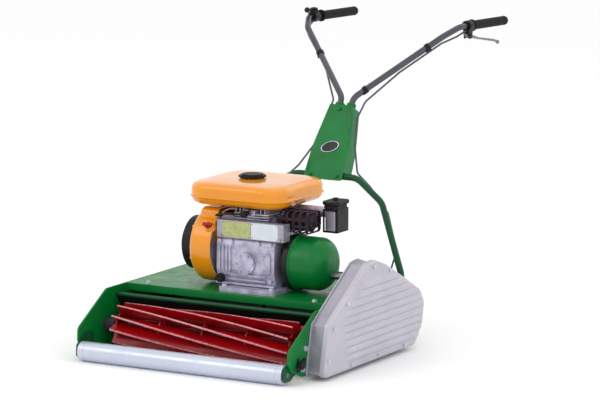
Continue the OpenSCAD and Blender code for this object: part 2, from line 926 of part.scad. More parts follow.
module spark_plug() {
    color(black)
        in_frame()
            union() {
                rod_y(6.8, cyl_y0 - 8, cyl_y0 + 6, 25, 420);
                translate([25, cyl_y0 - 8, 420])
                    rotate([90, 30, 0])
                        cylinder(r = 11, h = 7, $fn = 6);
                rod_y(7, 300, cyl_y0 - 14, 25, 420);
                rod_y(11, 296, 314, 25, 420);
                bent([[25, 300, 420], [-30, 298, 418], [-76, 310, 408], [-77, 352, 402]], 3.5, 12,
                    sides = 8);
            }
}

baffle_y = 318;
baffle_z0 = 344;
baffle_z1 = 396;

// Bright sheet that guides the cooling air past the cylinder
module cylinder_baffle() {
    color(silver)
        in_frame()
            union() {
                block(-72, baffle_y - 3, baffle_z0, 154, baffle_y, baffle_z1);
                block(151, baffle_y - 1, baffle_z0, 154, 352, baffle_z1);
                block(-72, baffle_y - 3, baffle_z1 - 3, 154, 340, baffle_z1);
                block(-72, baffle_y - 1, 364, -69, 345, baffle_z1 - 1);
                for (x = [-60, 142])
                    bolt([x, baffle_y - 3, baffle_z0 + 6], [0, -1, 0], 5);
            }
}

muffler_y = 398;
muffler_z = 398;

module muffler() {
    color(black)
        in_frame()
            difference() {
                union() {
                    rod_x(28, 118, 204, muffler_y, muffler_z);
                    rod_x(24, 112, 210, muffler_y, muffler_z);
                    rod_x(11, 92.5, 114, muffler_y, 390);
                    rod_x(7, 208, 224, muffler_y, muffler_z - 8);
                }
                rod_x(24, 121, 201, muffler_y, muffler_z);
                rod_x(5, 200, 225, muffler_y, muffler_z - 8);
                rod_x(8, 92, 122, muffler_y, 390);
            }
}

// Open guard of bent strip round the silencer
guard_y0 = 358;
guard_y1 = 438;
guard_z0 = 366;
guard_z1 = 429;

module muffler_guard() {
    color(black)
        in_frame()
            union() {
                for (x0 = [114, 136, 158, 180, 202])
                    difference() {
                        prism_x(rounded(box_outline(guard_y0, guard_z0, guard_y1, guard_z1), same(4, 12)),
                            x0, x0 + 8);
                        prism_x(rounded(box_outline(guard_y0 + 3, guard_z0 + 3, guard_y1 - 3, guard_z1 - 3),
                            same(4, 9)), x0 - 1, x0 + 9);
                    }
                for (z = [384, 404])
                    block(114, guard_y0 - 2, z, 210, guard_y0 + 1, z + 8);
                for (y = [378, 410])
                    block(114, y, guard_z1 - 1, 210, y + 8, guard_z1 + 2);
                block(114, guard_y1 - 1, 386, 210, guard_y1 + 2, 410);
            }
}

module carburettor() {
    color(silver)
        in_frame()
            union() {
                rod_y(15, 464.5, 486, 31, 389);
                prism_z(rounded(box_outline(8, 484, 58, 528), same(4, 8)), 386, 424);
                rod_z(19, 362, 388, 33, 506);
                rod_x(16, 56, 210, 500, 412);
                rod_x(19, 92, 98, 500, 412);
                rod_y(4, 526, 534, 20, 412);
            }
}

module choke_lever() {
    color(black)
        in_frame()
            difference() {
                union() {
                    rod_y(9, 529, 533, 20, 412);
                    prism_y([[14, 412], [26, 412], [22, 372], [14, 372]], 529, 533);
                    rod_y(6, 528.5, 538, 18, 374);
                }
                rod_y(4 + running, 520, 540, 20, 412);
            }
}

module air_cleaner() {
    color(silver)
        in_frame()
            difference() {
                union() {
                    prism_z(rounded(box_outline(214, 450, 256, 514), same(4, 10)), 364, 431);
                    rod_x(17.5, 210, 216, 500, 412);
                    for (i = [0 : 3])
                        block(256, 458 + i * 14, 372, 258, 464 + i * 14, 423);
                }
                prism_z(rounded(box_outline(217, 453, 253, 511), same(4, 8)), 367, 432);
            }
}

module air_cleaner_lid() {
    color(black)
        in_frame()
            union() {
                prism_z(rounded(box_outline(211, 447, 259, 517), same(4, 12)), 431, 441);
                prism_z(rounded(box_outline(206, 444, 264, 524), same(4, 16)), 443, 453);
                rod_z(16, 440, 444, 235, 482);
                rod_z(8, 452, 461, 235, 482);
            }
}

// Fan shroud: a round drum open towards the cylinder, with a duct up to the cylinder
shroud_x0 = -160;
shroud_x1 = -82;

module fan_shroud() {
    color(orange)
        in_frame()
            difference() {
                union() {
                    rod_x(shroud_r, shroud_x0 + 6, shroud_x1, crank_y, crank_z);
                    rod_x(shroud_r - 6, shroud_x0, shroud_x0 + 7, crank_y, crank_z);
                    prism_x(rounded(box_outline(336, 320, 466, 424), [0, 0, 20, 20]), shroud_x0 + 14,
                        shroud_x1);
                    aim(switch_at - switch_dir * 12, switch_dir)
                        cylinder(r = 14, h = 11.6);
                }
                rod_x(shroud_r - 4, shroud_x0 + 9, shroud_x1 + 1, crank_y, crank_z);
                prism_x(rounded(box_outline(340, 330, 462, 420), [0, 0, 16, 16]), shroud_x0 + 18,
                    shroud_x1 + 1);
                rod_x(66, shroud_x0 - 1, shroud_x0 + 10, crank_y, crank_z);
            }
}

recoil_x0 = -206;
pull_dir = [0, 0.8, 0.6];
pull_at = [-184, crank_y + 62, crank_z + 50];

module recoil_housing() {
    color(black)
        in_frame()
            difference() {
                union() {
                    rod_x(84, shroud_x0 - 6, shroud_x0, crank_y, crank_z);
                    rod_x(80, recoil_x0 + 8, shroud_x0 - 5, crank_y, crank_z);
                    rod_x(68, recoil_x0, recoil_x0 + 9, crank_y, crank_z);
                    aim(pull_at - pull_dir * 10, pull_dir)
                        cylinder(r = 11, h = 20);
                }
                rod_x(60, recoil_x0 + 6, shroud_x0 + 1, crank_y, crank_z);
                for (a = [0 : 45 : 315])
                    translate([0, crank_y, crank_z])
                        rotate([a, 0, 0])
                            block(recoil_x0 - 1, -5, 34, recoil_x0 + 8, 5, 58);
                aim(pull_at - pull_dir * 60, pull_dir)
                    cylinder(r = 3, h = 80);
            }
}

// Pull grip, with the first length of its rope inside the housing
module starter_handle() {
    color(black)
        in_frame()
            aim(pull_at + pull_dir * 11, pull_dir) {
                translate([0, 0, -70])
                    cylinder(r = 2.4, h = 74);
                cylinder(r = 7, h = 18);
                translate([0, 0, 22])
                    rotate([0, 90, 0])
                        translate([0, 0, -28])
                            cylinder(r = 8, h = 56);
            }
}

// ---------- Fuel system ----------

tank_mid = [-22, 464];
tank_z0 = 432;

// One horizontal slice of the tank's rounded shape
module tank_slice(z, grow, h, corner_r) {
    prism_z(rounded(box_outline(tank_mid.x - tank_l / 2 - grow, tank_mid.y - tank_d / 2 - grow,
        tank_mid.x + tank_l / 2 + grow, tank_mid.y + tank_d / 2 + grow), same(4, corner_r)), z, z + h);
}

tank_wall = 2;
cap_at = [-30, 450];

module tank_body(inset) {
    hull() {
        tank_slice(tank_z0 + inset, -22 - inset, 1, 48);
        tank_slice(tank_z0 + 12, -4 - inset, 1, 58);
        tank_slice(tank_z0 + 22, -inset, tank_h - 38, 62);
        tank_slice(tank_z0 + tank_h - 7, -6 - inset, 1, 60);
        tank_slice(tank_z0 + tank_h - inset - 1, -22 - inset, 1, 50);
        tank_slice(tank_z0 + tank_h + 2 - inset, -70, 1, 46);
    }
}

module fuel_tank() {
    color(orange)
        in_frame()
            difference() {
                union() {
                    tank_body(0);
                    rod_z(26, tank_z0 + tank_h, tank_z0 + tank_h + 6, cap_at.x, cap_at.y);
                    rod_z(22, tank_z0 + tank_h, tank_z0 + tank_h + 11, cap_at.x, cap_at.y);
                    for (x = [-90, 46])
                        block(x - 12, 366, tank_z0 - 3, x + 12, 560, tank_z0 + 1);
                }
                tank_body(tank_wall);
                rod_z(18, tank_z0 + tank_h - 10, tank_z0 + tank_h + 18, cap_at.x, cap_at.y);
            }
}

module tank_cap() {
    z0 = tank_z0 + tank_h + 6.4;
    color(black)
        in_frame()
            difference() {
                union() {
                    rod_z(38, z0, z0 + 7, cap_at.x, cap_at.y);
                    rod_z(32, z0 + 6, z0 + 10, cap_at.x, cap_at.y);
                    for (a = [0 : 30 : 330])
                        translate(cap_at)
                            rotate(a)
                                rod_z(4, z0, z0 + 6, 37, 0);
                }
                rod_z(22 + running, z0 - 1, z0 + 5, cap_at.x, cap_at.y);
            }
}

module fuel_line() {
    color(black)
        in_frame()
            bent([[0, 556, 432], [0, 556, 395], [-4, 530, 373], [16.9, 516.4, 371]], 4, 12, sides = 10);
}

switch_dir = [0, -0.8, 0.6];
switch_h = shroud_r + 7;
switch_at = [-96, crank_y - 0.8 * switch_h, crank_z + 0.6 * switch_h];

module stop_switch() {
    color(red)
        in_frame()
            aim(switch_at, switch_dir) {
                cylinder(r = 10, h = 6);
                translate([-4, -15, 5])
                    cube([8, 30, 8]);
            }
}

// ---------- Handle ----------

// A point of the arch's own plane: x across, s up the leaning plane
function in_arch(x, s) = [x, foot.y + s * sin(lean), foot.z + s * cos(lean)];
arch_half = [[foot.x, -62], [foot.x, 8], [214, 232], [110, arch_rise]];

module handle_arch() {
    pts = concat([for (p = arch_half) in_arch(p.x, p.y)],
        [for (i = [3 : -1 : 0]) in_arch(-arch_half[i].x, arch_half[i].y)]);
    color(dark_green)
        in_frame()
            union() {
                bent(pts, arch_d / 2, 70, arch_d / 2 - 2);
                for (s = [-1, 1], k = [-52, -8])
                    bolt(in_arch(s * (foot.x - arch_d / 2 + 1), k), [-s, 0, 0], 8);
            }
}

// A point of the column's own frame: y behind its front face, z up the lean
module in_column() {
    translate([0, column_y, column_z])
        rotate([-lean, 0, 0])
            children();
}

function column_pt(x, y, z) = [x, column_y + y * cos(lean) + z * sin(lean),
    column_z - y * sin(lean) + z * cos(lean)];

column_l = 231;
column_d = 62;
column_front = [[-66, 17], [-62, 90], [-36.5, column_l], [36.5, column_l], [62, 90], [66, 17]];
sheet = 3;

module column_solid(inset) {
    intersection() {
        translate([0, column_d - inset, 0])
            rotate([90, 0, 0])
                linear_extrude(column_d - 2 * inset)
                    polygon([for (p = column_front) [p.x - sign(p.x) * inset,
                        p.y > column_l - 1 ? p.y - inset : p.y - (inset > 0 ? 1 : 0)]]);
        rotate([90, 0, 90])
            translate([0, 0, -100])
                linear_extrude(200)
                    polygon([[inset, 0], [column_d - 8 - inset, 0], [column_d - inset, column_l],
                        [inset, column_l]]);
    }
}

// Folded sheet column with a front apron that hangs in front of the arch tube
module column() {
    color(green)
        in_frame()
            in_column()
                union() {
                    difference() {
                        column_solid(0);
                        column_solid(sheet);
                        for (s = [-1, 1])
                            rod_z(bar_d / 2 + 0.5, column_l - 10, column_l + 5, s * 20, 32);
                    }
                    prism_y(rounded([[-67, -14], [-66, 20], [66, 20], [67, -14]], [8, 0, 0, 8]), 0, sheet);
                    for (s = [-1, 1])
                        translate([s * 20, 32, 0])
                            difference() {
                                rod_z(bar_d / 2 + 5, column_l, column_l + 14, 0, 0);
                                rod_z(bar_d / 2 + 0.5, column_l - 1, column_l + 15, 0, 0);
                            }
                    for (x = [-46, 46])
                        bolt([x, 0, 0], [0, -1, 0], 7);
                    bolt([0, 0, column_l - 14], [0, -1, 0], 7);
                    bolt([0, column_d - 1, column_l - 30], [0, 1, 0], 7);
                }
}

function bar_path(s) = [column_pt(s * 20, 32, 60), column_pt(s * 20, 32, 266), [s * 240, 1150, 868],
    [s * grip_x, 1206, 893], [s * (grip_x + 2), 1504, 884]];

module handlebars() {
    color(steel)
        in_frame()
            for (s = [-1, 1])
                bent(bar_path(s), bar_d / 2, 44, bar_d / 2 - 2);
}

function bar_pt(s, y) = let(p = bar_path(s)[3], q = bar_path(s)[4]) p + (q - p) * (y - p.y) / (q.y - p.y);
function grip_pt(s, back) = bar_path(s)[4] + unit(bar_path(s)[3] - bar_path(s)[4]) * back;

module grips() {
    color(black)
        in_frame()
            for (s = [-1, 1])
                difference() {
                    union() {
                        straight(grip_pt(s, -8), grip_pt(s, grip_l), 14);
                        straight(grip_pt(s, grip_l - 8), grip_pt(s, grip_l), 19);
                    }
                    straight(grip_pt(s, 0), grip_pt(s, grip_l + 1), bar_d / 2);
                }
}

// Clamp brackets: the clutch lever's under the left grip, the throttle's on the right bar
clutch_pivot = [grip_x, 1262, 862];
throttle_at = [-grip_x, 1240, 891];

module lever_brackets() {
    color(black)
        in_frame() {
            difference() {
                union() {
                    straight(bar_pt(1, 1250), bar_pt(1, 1276), 17);
                    for (s = [-1, 1])
                        prism_x([[1248, 884], [1278, 884], [1272, 852], [1254, 852]],
                            grip_x + (s > 0 ? 6 : -10), grip_x + (s > 0 ? 10 : -6));
                    rod_x(4, grip_x - 12, grip_x + 12, clutch_pivot.y, clutch_pivot.z);
                }
                straight(bar_pt(1, 1240), bar_pt(1, 1290), bar_d / 2 + running);
            }
            difference() {
                union() {
                    straight(bar_pt(-1, 1226), bar_pt(-1, 1254), 17);
                    rod_z(14, 905, 914, throttle_at.x, throttle_at.y);
                    rod_z(4, 912, 922, throttle_at.x, throttle_at.y);
                }
                straight(bar_pt(-1, 1216), bar_pt(-1, 1262), bar_d / 2 + running);
            }
        }
}

module clutch_lever() {
    color(steel)
        in_frame()
            difference() {
                union() {
                    rod_x(9, grip_x - 5.5, grip_x + 5.5, clutch_pivot.y, clutch_pivot.z);
                    bent([clutch_pivot, [grip_x, 1330, 846], [grip_x, 1440, 828], [grip_x, 1466, 820]],
                        5, 30, sides = 12);
                    rod_x(5.5, grip_x - 5.5, grip_x + 5.5, clutch_pivot.y - 10, clutch_pivot.z + 2);
                }
                rod_x(4 + running, grip_x - 12, grip_x + 12, clutch_pivot.y, clutch_pivot.z);
            }
}

module throttle_lever() {
    color(black)
        in_frame()
            difference() {
                union() {
                    rod_z(12, 914.3, 920, throttle_at.x, throttle_at.y);
                    prism_z([[throttle_at.x - 4, throttle_at.y - 6], [throttle_at.x + 4, throttle_at.y - 6],
                        [throttle_at.x + 4, throttle_at.y - 46], [throttle_at.x - 4, throttle_at.y - 46]],
                        914.3, 919);
                    translate([throttle_at.x, throttle_at.y - 44, 917])
                        sphere(r = 9);
                }
                rod_z(4 + running, 910, 925, throttle_at.x, throttle_at.y);
            }
}

// Bowden cables: the throttle's runs down the right bar and the column's side and behind the tank to the
// carburettor, and the clutch's runs down the left bar and the arch to the countershaft's bearing
throttle_route = [[-262, 1223, 879], [-258, 1196, 870], [-236, 1146, 846.4], [-130, 1070, 758],
    [-56, 988, 672], [-52, 944, 626], [-70, 898, 546], [-72, 800, 492], [-62, 660, 456],
    [-40, 610, 418], [-12, 560, 404], [4, 520, 405]];
clutch_route = [[268, 1246, 877], [262, 1200, 864], [236, 1146, 846.4], [130, 1070, 758],
    [56, 988, 672], [52, 944, 626], [70, 898, 546], [96, 866, 470], [150, 850, 434], [232, 812, 366],
    [286, 768, 262], [298, 700, 202], [312, 640, 197], [334, 560, 208], [338, 470, 236], [338, 427, 254]];

module control_cables() {
    color(black)
        in_frame() {
            bent(throttle_route, 3, 16, sides = 8);
            bent(clutch_route, 3, 16, sides = 8);
        }
}

side_plate_left();
side_plate_right();
deck_plate();
frame_bolts();
deflector_plate();
tie_bar();
blade_carrier();
bottom_blade();
bearing_housings();
roller_brackets();
front_roller_axle();
wing_knob_left();
wing_knob_right();
front_roller();
reel_shaft();
reel_discs();
reel_blades();
drive_roller_left();
drive_roller_right();
drive_axle();
countershaft();
reduction_gear();
countershaft_bearing();
reel_chain();
roller_chain();
chain_case_back();
chain_case_wall();
chain_case_cover();
clutch_backplate();
clutch_cover();
clutch_drum();
crankshaft();
flywheel();
crankcase();
oil_plug();
cylinder_block();
cylinder_head();
spark_plug();
cylinder_baffle();
muffler();
muffler_guard();
carburettor();
choke_lever();
air_cleaner();
air_cleaner_lid();
fan_shroud();
recoil_housing();
starter_handle();
fuel_tank();
tank_cap();
fuel_line();
stop_switch();
handle_arch();
column();
handlebars();
grips();
lever_brackets();
clutch_lever();
throttle_lever();
control_cables();
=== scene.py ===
import json
from math import acos, ceil, cos, pi, radians, sin, sqrt, tan

import bmesh
import bpy
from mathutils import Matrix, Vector


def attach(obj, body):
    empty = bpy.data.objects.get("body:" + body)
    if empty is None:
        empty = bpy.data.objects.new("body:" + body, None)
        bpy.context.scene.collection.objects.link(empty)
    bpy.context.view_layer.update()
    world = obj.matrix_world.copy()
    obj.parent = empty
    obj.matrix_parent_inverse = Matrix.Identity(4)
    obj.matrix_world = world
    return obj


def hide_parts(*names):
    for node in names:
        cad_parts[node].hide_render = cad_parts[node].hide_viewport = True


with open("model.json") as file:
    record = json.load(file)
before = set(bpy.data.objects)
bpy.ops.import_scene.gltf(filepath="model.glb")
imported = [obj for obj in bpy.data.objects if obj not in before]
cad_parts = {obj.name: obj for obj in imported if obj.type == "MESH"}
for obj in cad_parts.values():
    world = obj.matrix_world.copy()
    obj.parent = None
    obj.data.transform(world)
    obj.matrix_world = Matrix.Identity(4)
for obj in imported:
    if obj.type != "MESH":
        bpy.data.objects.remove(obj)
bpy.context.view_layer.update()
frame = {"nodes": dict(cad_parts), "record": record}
NODES = frame["nodes"]
MM = 0.001
WELD = 2e-6                            # points closer than this, in metres, are one
MID = Vector((28.0, 741.75, 0.0))      # the machine's own origin, as part.scad draws it, in mm


def at(p):
    """A point in the machine's millimetres as a point of the row frame in metres."""
    return (Vector(p) - MID) * MM


# ---------------------------------------------------------------- camera, light, floor

def aim_at(obj, target):
    """Turns a camera or a lamp to face a point."""
    obj.rotation_mode = "QUATERNION"
    obj.rotation_quaternion = (Vector(target) - obj.location).to_track_quat("-Z", "Y")


def link(obj):
    """Adds an object to the scene."""
    bpy.context.scene.collection.objects.link(obj)
    return obj


LENS = 218.52                              # a long lens from nearly eleven metres
CAMERA_AT = (5390.30, -8742.71, 2216.04)   # front, to the right and above, in mm
CAMERA_AIM = (117.67, 475.99, 445.21)      # a point near the middle of the machine

cam_data = bpy.data.cameras.new("camera")
cam_data.lens = LENS
cam_data.sensor_width = 36.0
cam_data.clip_start, cam_data.clip_end = 0.1, 60.0
camera = link(bpy.data.objects.new("camera", cam_data))
camera.location = at(CAMERA_AT)
aim_at(camera, at(CAMERA_AIM))
bpy.context.scene.camera = camera


def area_light(name, where, target, size, power, color=(1, 1, 1)):
    """A soft lamp of size metres and power watts."""
    data = bpy.data.lights.new(name, "AREA")
    data.shape = "RECTANGLE"
    data.size, data.size_y = size
    data.energy = power
    data.color = color
    obj = link(bpy.data.objects.new(name, data))
    obj.location = where
    aim_at(obj, target)


area_light("key", (-2.4, -3.6, 3.4), (0, -0.1, 0.4), (2.4, 2.0), 24, (1.0, 0.985, 0.96))
area_light("fill", (3.8, -2.2, 1.9), (0, 0, 0.3), (2.6, 2.2), 6, (0.95, 0.97, 1.0))
area_light("top", (0.2, 0.4, 4.2), (0, 0, 0.3), (3.0, 3.0), 12)
area_light("back", (1.2, 4.0, 2.8), (0, 0.2, 0.4), (3.0, 2.0), 10)

world = bpy.data.worlds.new("studio")
bpy.context.scene.world = world
world.use_nodes = True
world.node_tree.nodes["Background"].inputs["Color"].default_value = (1.0, 1.0, 1.0, 1.0)
world.node_tree.nodes["Background"].inputs["Strength"].default_value = 1.0
bpy.context.scene.view_settings.view_transform = "Standard"


# ---------------------------------------------------------------- materials

def srgb(r, g, b):
    """An everyday 0-255 colour as a linear one."""
    return tuple((c / 255 / 12.92) if c <= 10 else ((c / 255 + 0.055) / 1.055) ** 2.4
                 for c in (r, g, b)) + (1.0,)


def scaled(color, k):
    """A colour made darker or lighter in proportion."""
    return tuple(min(1.0, c * k) for c in color[:3]) + (1.0,)


class Nodes:
    """Short names for building a node tree."""

    def __init__(self, mat):
        self.tree = mat.node_tree
        self.bsdf = self.tree.nodes["Principled BSDF"]
        self.coords = self.add("ShaderNodeTexCoord").outputs["Object"]

    def add(self, kind, **props):
        node = self.tree.nodes.new(kind)
        for k, v in props.items():
            setattr(node, k, v)
        return node

    def join(self, a, b):
        self.tree.links.new(a, b)

    def stretch(self, scale):
        """The object coordinates scaled along each axis."""
        m = self.add("ShaderNodeMapping")
        m.inputs["Scale"].default_value = scale
        self.join(self.coords, m.inputs["Vector"])
        return m.outputs["Vector"]

    def noise(self, scale, detail=4, rough=0.55, coords=None, distort=0.0):
        n = self.add("ShaderNodeTexNoise")
        n.inputs["Scale"].default_value = scale
        n.inputs["Detail"].default_value = detail
        n.inputs["Roughness"].default_value = rough
        n.inputs["Distortion"].default_value = distort
        self.join(coords or self.coords, n.inputs["Vector"])
        return n.outputs["Fac"]

    def span(self, value, lo, hi, to_lo=0.0, to_hi=1.0):
        """Takes lo..hi to to_lo..to_hi, and holds it at the ends."""
        m = self.add("ShaderNodeMapRange")
        for k, v in (("From Min", lo), ("From Max", hi), ("To Min", to_lo), ("To Max", to_hi)):
            m.inputs[k].default_value = v
        self.join(value, m.inputs["Value"])
        return m.outputs["Result"]

    def math(self, op, a, b):
        m = self.add("ShaderNodeMath", operation=op)
        for i, v in enumerate((a, b)):
            if isinstance(v, (int, float)):
                m.inputs[i].default_value = v
            else:
                self.join(v, m.inputs[i])
        return m.outputs["Value"]

    def mix(self, fac, a, b):
        m = self.add("ShaderNodeMix", data_type="RGBA")
        for socket, v in ((m.inputs[0], fac), (m.inputs[6], a), (m.inputs[7], b)):
            if isinstance(v, (tuple, int, float)):
                socket.default_value = v
            else:
                self.join(v, socket)
        return m.outputs[2]

    def bump(self, height, strength, distance):
        b = self.add("ShaderNodeBump")
        b.inputs["Strength"].default_value = strength
        b.inputs["Distance"].default_value = distance
        self.join(height, b.inputs["Height"])
        return b.outputs["Normal"]

    def edges(self, radius):
        """1 along sharp edges and 0 on flats, from how far a rounded normal turns away."""
        rounded = self.add("ShaderNodeBevel", samples=4)
        rounded.inputs["Radius"].default_value = radius
        geo = self.add("ShaderNodeNewGeometry")
        dot = self.add("ShaderNodeVectorMath", operation="DOT_PRODUCT")
        self.join(rounded.outputs["Normal"], dot.inputs[0])
        self.join(geo.outputs["Normal"], dot.inputs[1])
        return self.span(dot.outputs["Value"], 0.98, 0.75)


COAT_ROUGH = 0.08


def material(name, color, rough=0.4, metal=0.0, coat=0.0, tone=0.12, tone_scale=9.0, rough_var=0.12,
             grain=(900.0, 0.10, 0.0002), streak=None, streak_amount=0.0,
             wear_and_highlight=None, dirt_and_shade=None, spec=0.5, recipe=None):
    """A finish: a base colour that drifts in tone, roughness that varies, a fine grain in the
    normal, and where asked, brushed streaks, an edge colour and a patch colour. grain is (scale,
    strength, depth), streak is the pattern's scale along x, y and z, the edge colour, for worn
    edges and on the cast aluminium also a painted highlight, is (colour, width, amount), and the
    patch colour, for grime and on the cast aluminium also painted shade, is (colour, scale, amount)."""
    mat = bpy.data.materials.new(name)
    mat.use_nodes = True
    n = Nodes(mat)
    b = n.bsdf
    b.inputs["Metallic"].default_value = metal
    b.inputs["Specular IOR Level"].default_value = spec
    if coat:
        b.inputs["Coat Weight"].default_value = coat
        b.inputs["Coat Roughness"].default_value = COAT_ROUGH
    drift = n.span(n.noise(tone_scale, 5), 0.3, 0.7)
    base = n.mix(drift, scaled(color, 1 - tone), scaled(color, 1 + tone * 0.5))
    height = fine = n.noise(grain[0], 3)
    rough_out = n.span(n.noise(tone_scale * 3.1, 6, 0.65), 0.3, 0.7, max(0.03, rough - rough_var),
                       rough + rough_var)
    if streak:
        lines = n.noise(1.0, 3, 0.6, n.stretch(streak))
        base = n.mix(n.span(lines, 0.35, 0.65, 0.0, streak_amount), base, scaled(color, 0.45))
        height = n.math("ADD", fine, lines)
        rough_out = n.math("ADD", rough_out, n.span(lines, 0.3, 0.7, -0.06, 0.08))
    # Darker colour in noisy patches: grime, and on the cast aluminium also painted shade.
    if dirt_and_shade:
        patch = n.span(n.noise(dirt_and_shade[1], 7, 0.7, distort=0.4), 0.52, 0.78, 0.0, dirt_and_shade[2])
        base = n.mix(patch, base, dirt_and_shade[0])
        rough_out = n.math("ADD", rough_out, n.math("MULTIPLY", patch, 0.25))
    # Edge colour in patches along sharp edges: worn finish, and on the cast aluminium also a painted
    # highlight.
    if wear_and_highlight:
        rubbed_and_lit = n.math("MULTIPLY", n.edges(wear_and_highlight[1]), n.span(n.noise(160.0, 6, 0.7), 0.42, 0.62))
        base = n.mix(n.math("MULTIPLY", rubbed_and_lit, wear_and_highlight[2]), base, wear_and_highlight[0])
    if recipe:
        base = recipe(n, base)
    n.join(base, b.inputs["Base Color"])
    n.join(rough_out, b.inputs["Roughness"])
    n.join(n.bump(height, grain[1], grain[2]), b.inputs["Normal"])
    return mat


GRIME = srgb(60, 56, 48)
BARE_AND_LIT_BAND = (0.0662, 0.0676)     # radii in metres between which the blades turn from red paint to a pale pink edge: paint ground away, and a painted highlight


def bare_and_lit_tips(n, base):
    """Reel blades: outside a radius from the axis the cutting edge turns pale pink, partly paint ground
    away and partly a painted highlight along the edge.
    """
    axis = at((0, 146, 84))
    off = n.add("ShaderNodeVectorMath", operation="SUBTRACT")
    n.join(n.coords, off.inputs[0])
    off.inputs[1].default_value = axis
    flat = n.add("ShaderNodeVectorMath", operation="MULTIPLY")
    n.join(off.outputs[0], flat.inputs[0])
    flat.inputs[1].default_value = (0, 1, 1)
    size = n.add("ShaderNodeVectorMath", operation="LENGTH")
    n.join(flat.outputs[0], size.inputs[0])
    ragged = n.math("ADD", size.outputs["Value"], n.span(n.noise(220.0, 5), 0.3, 0.7, -0.0016, 0.0016))
    return n.mix(n.span(ragged, *BARE_AND_LIT_BAND), base, srgb(214, 142, 146))


def heat_tint(n, base):
    """Exhaust metal: brown and straw bands drift along the part."""
    band = n.span(n.noise(14.0, 5, 0.7, distort=1.2), 0.4, 0.7)
    return n.mix(n.math("MULTIPLY", band, 0.6), base, srgb(92, 62, 58))


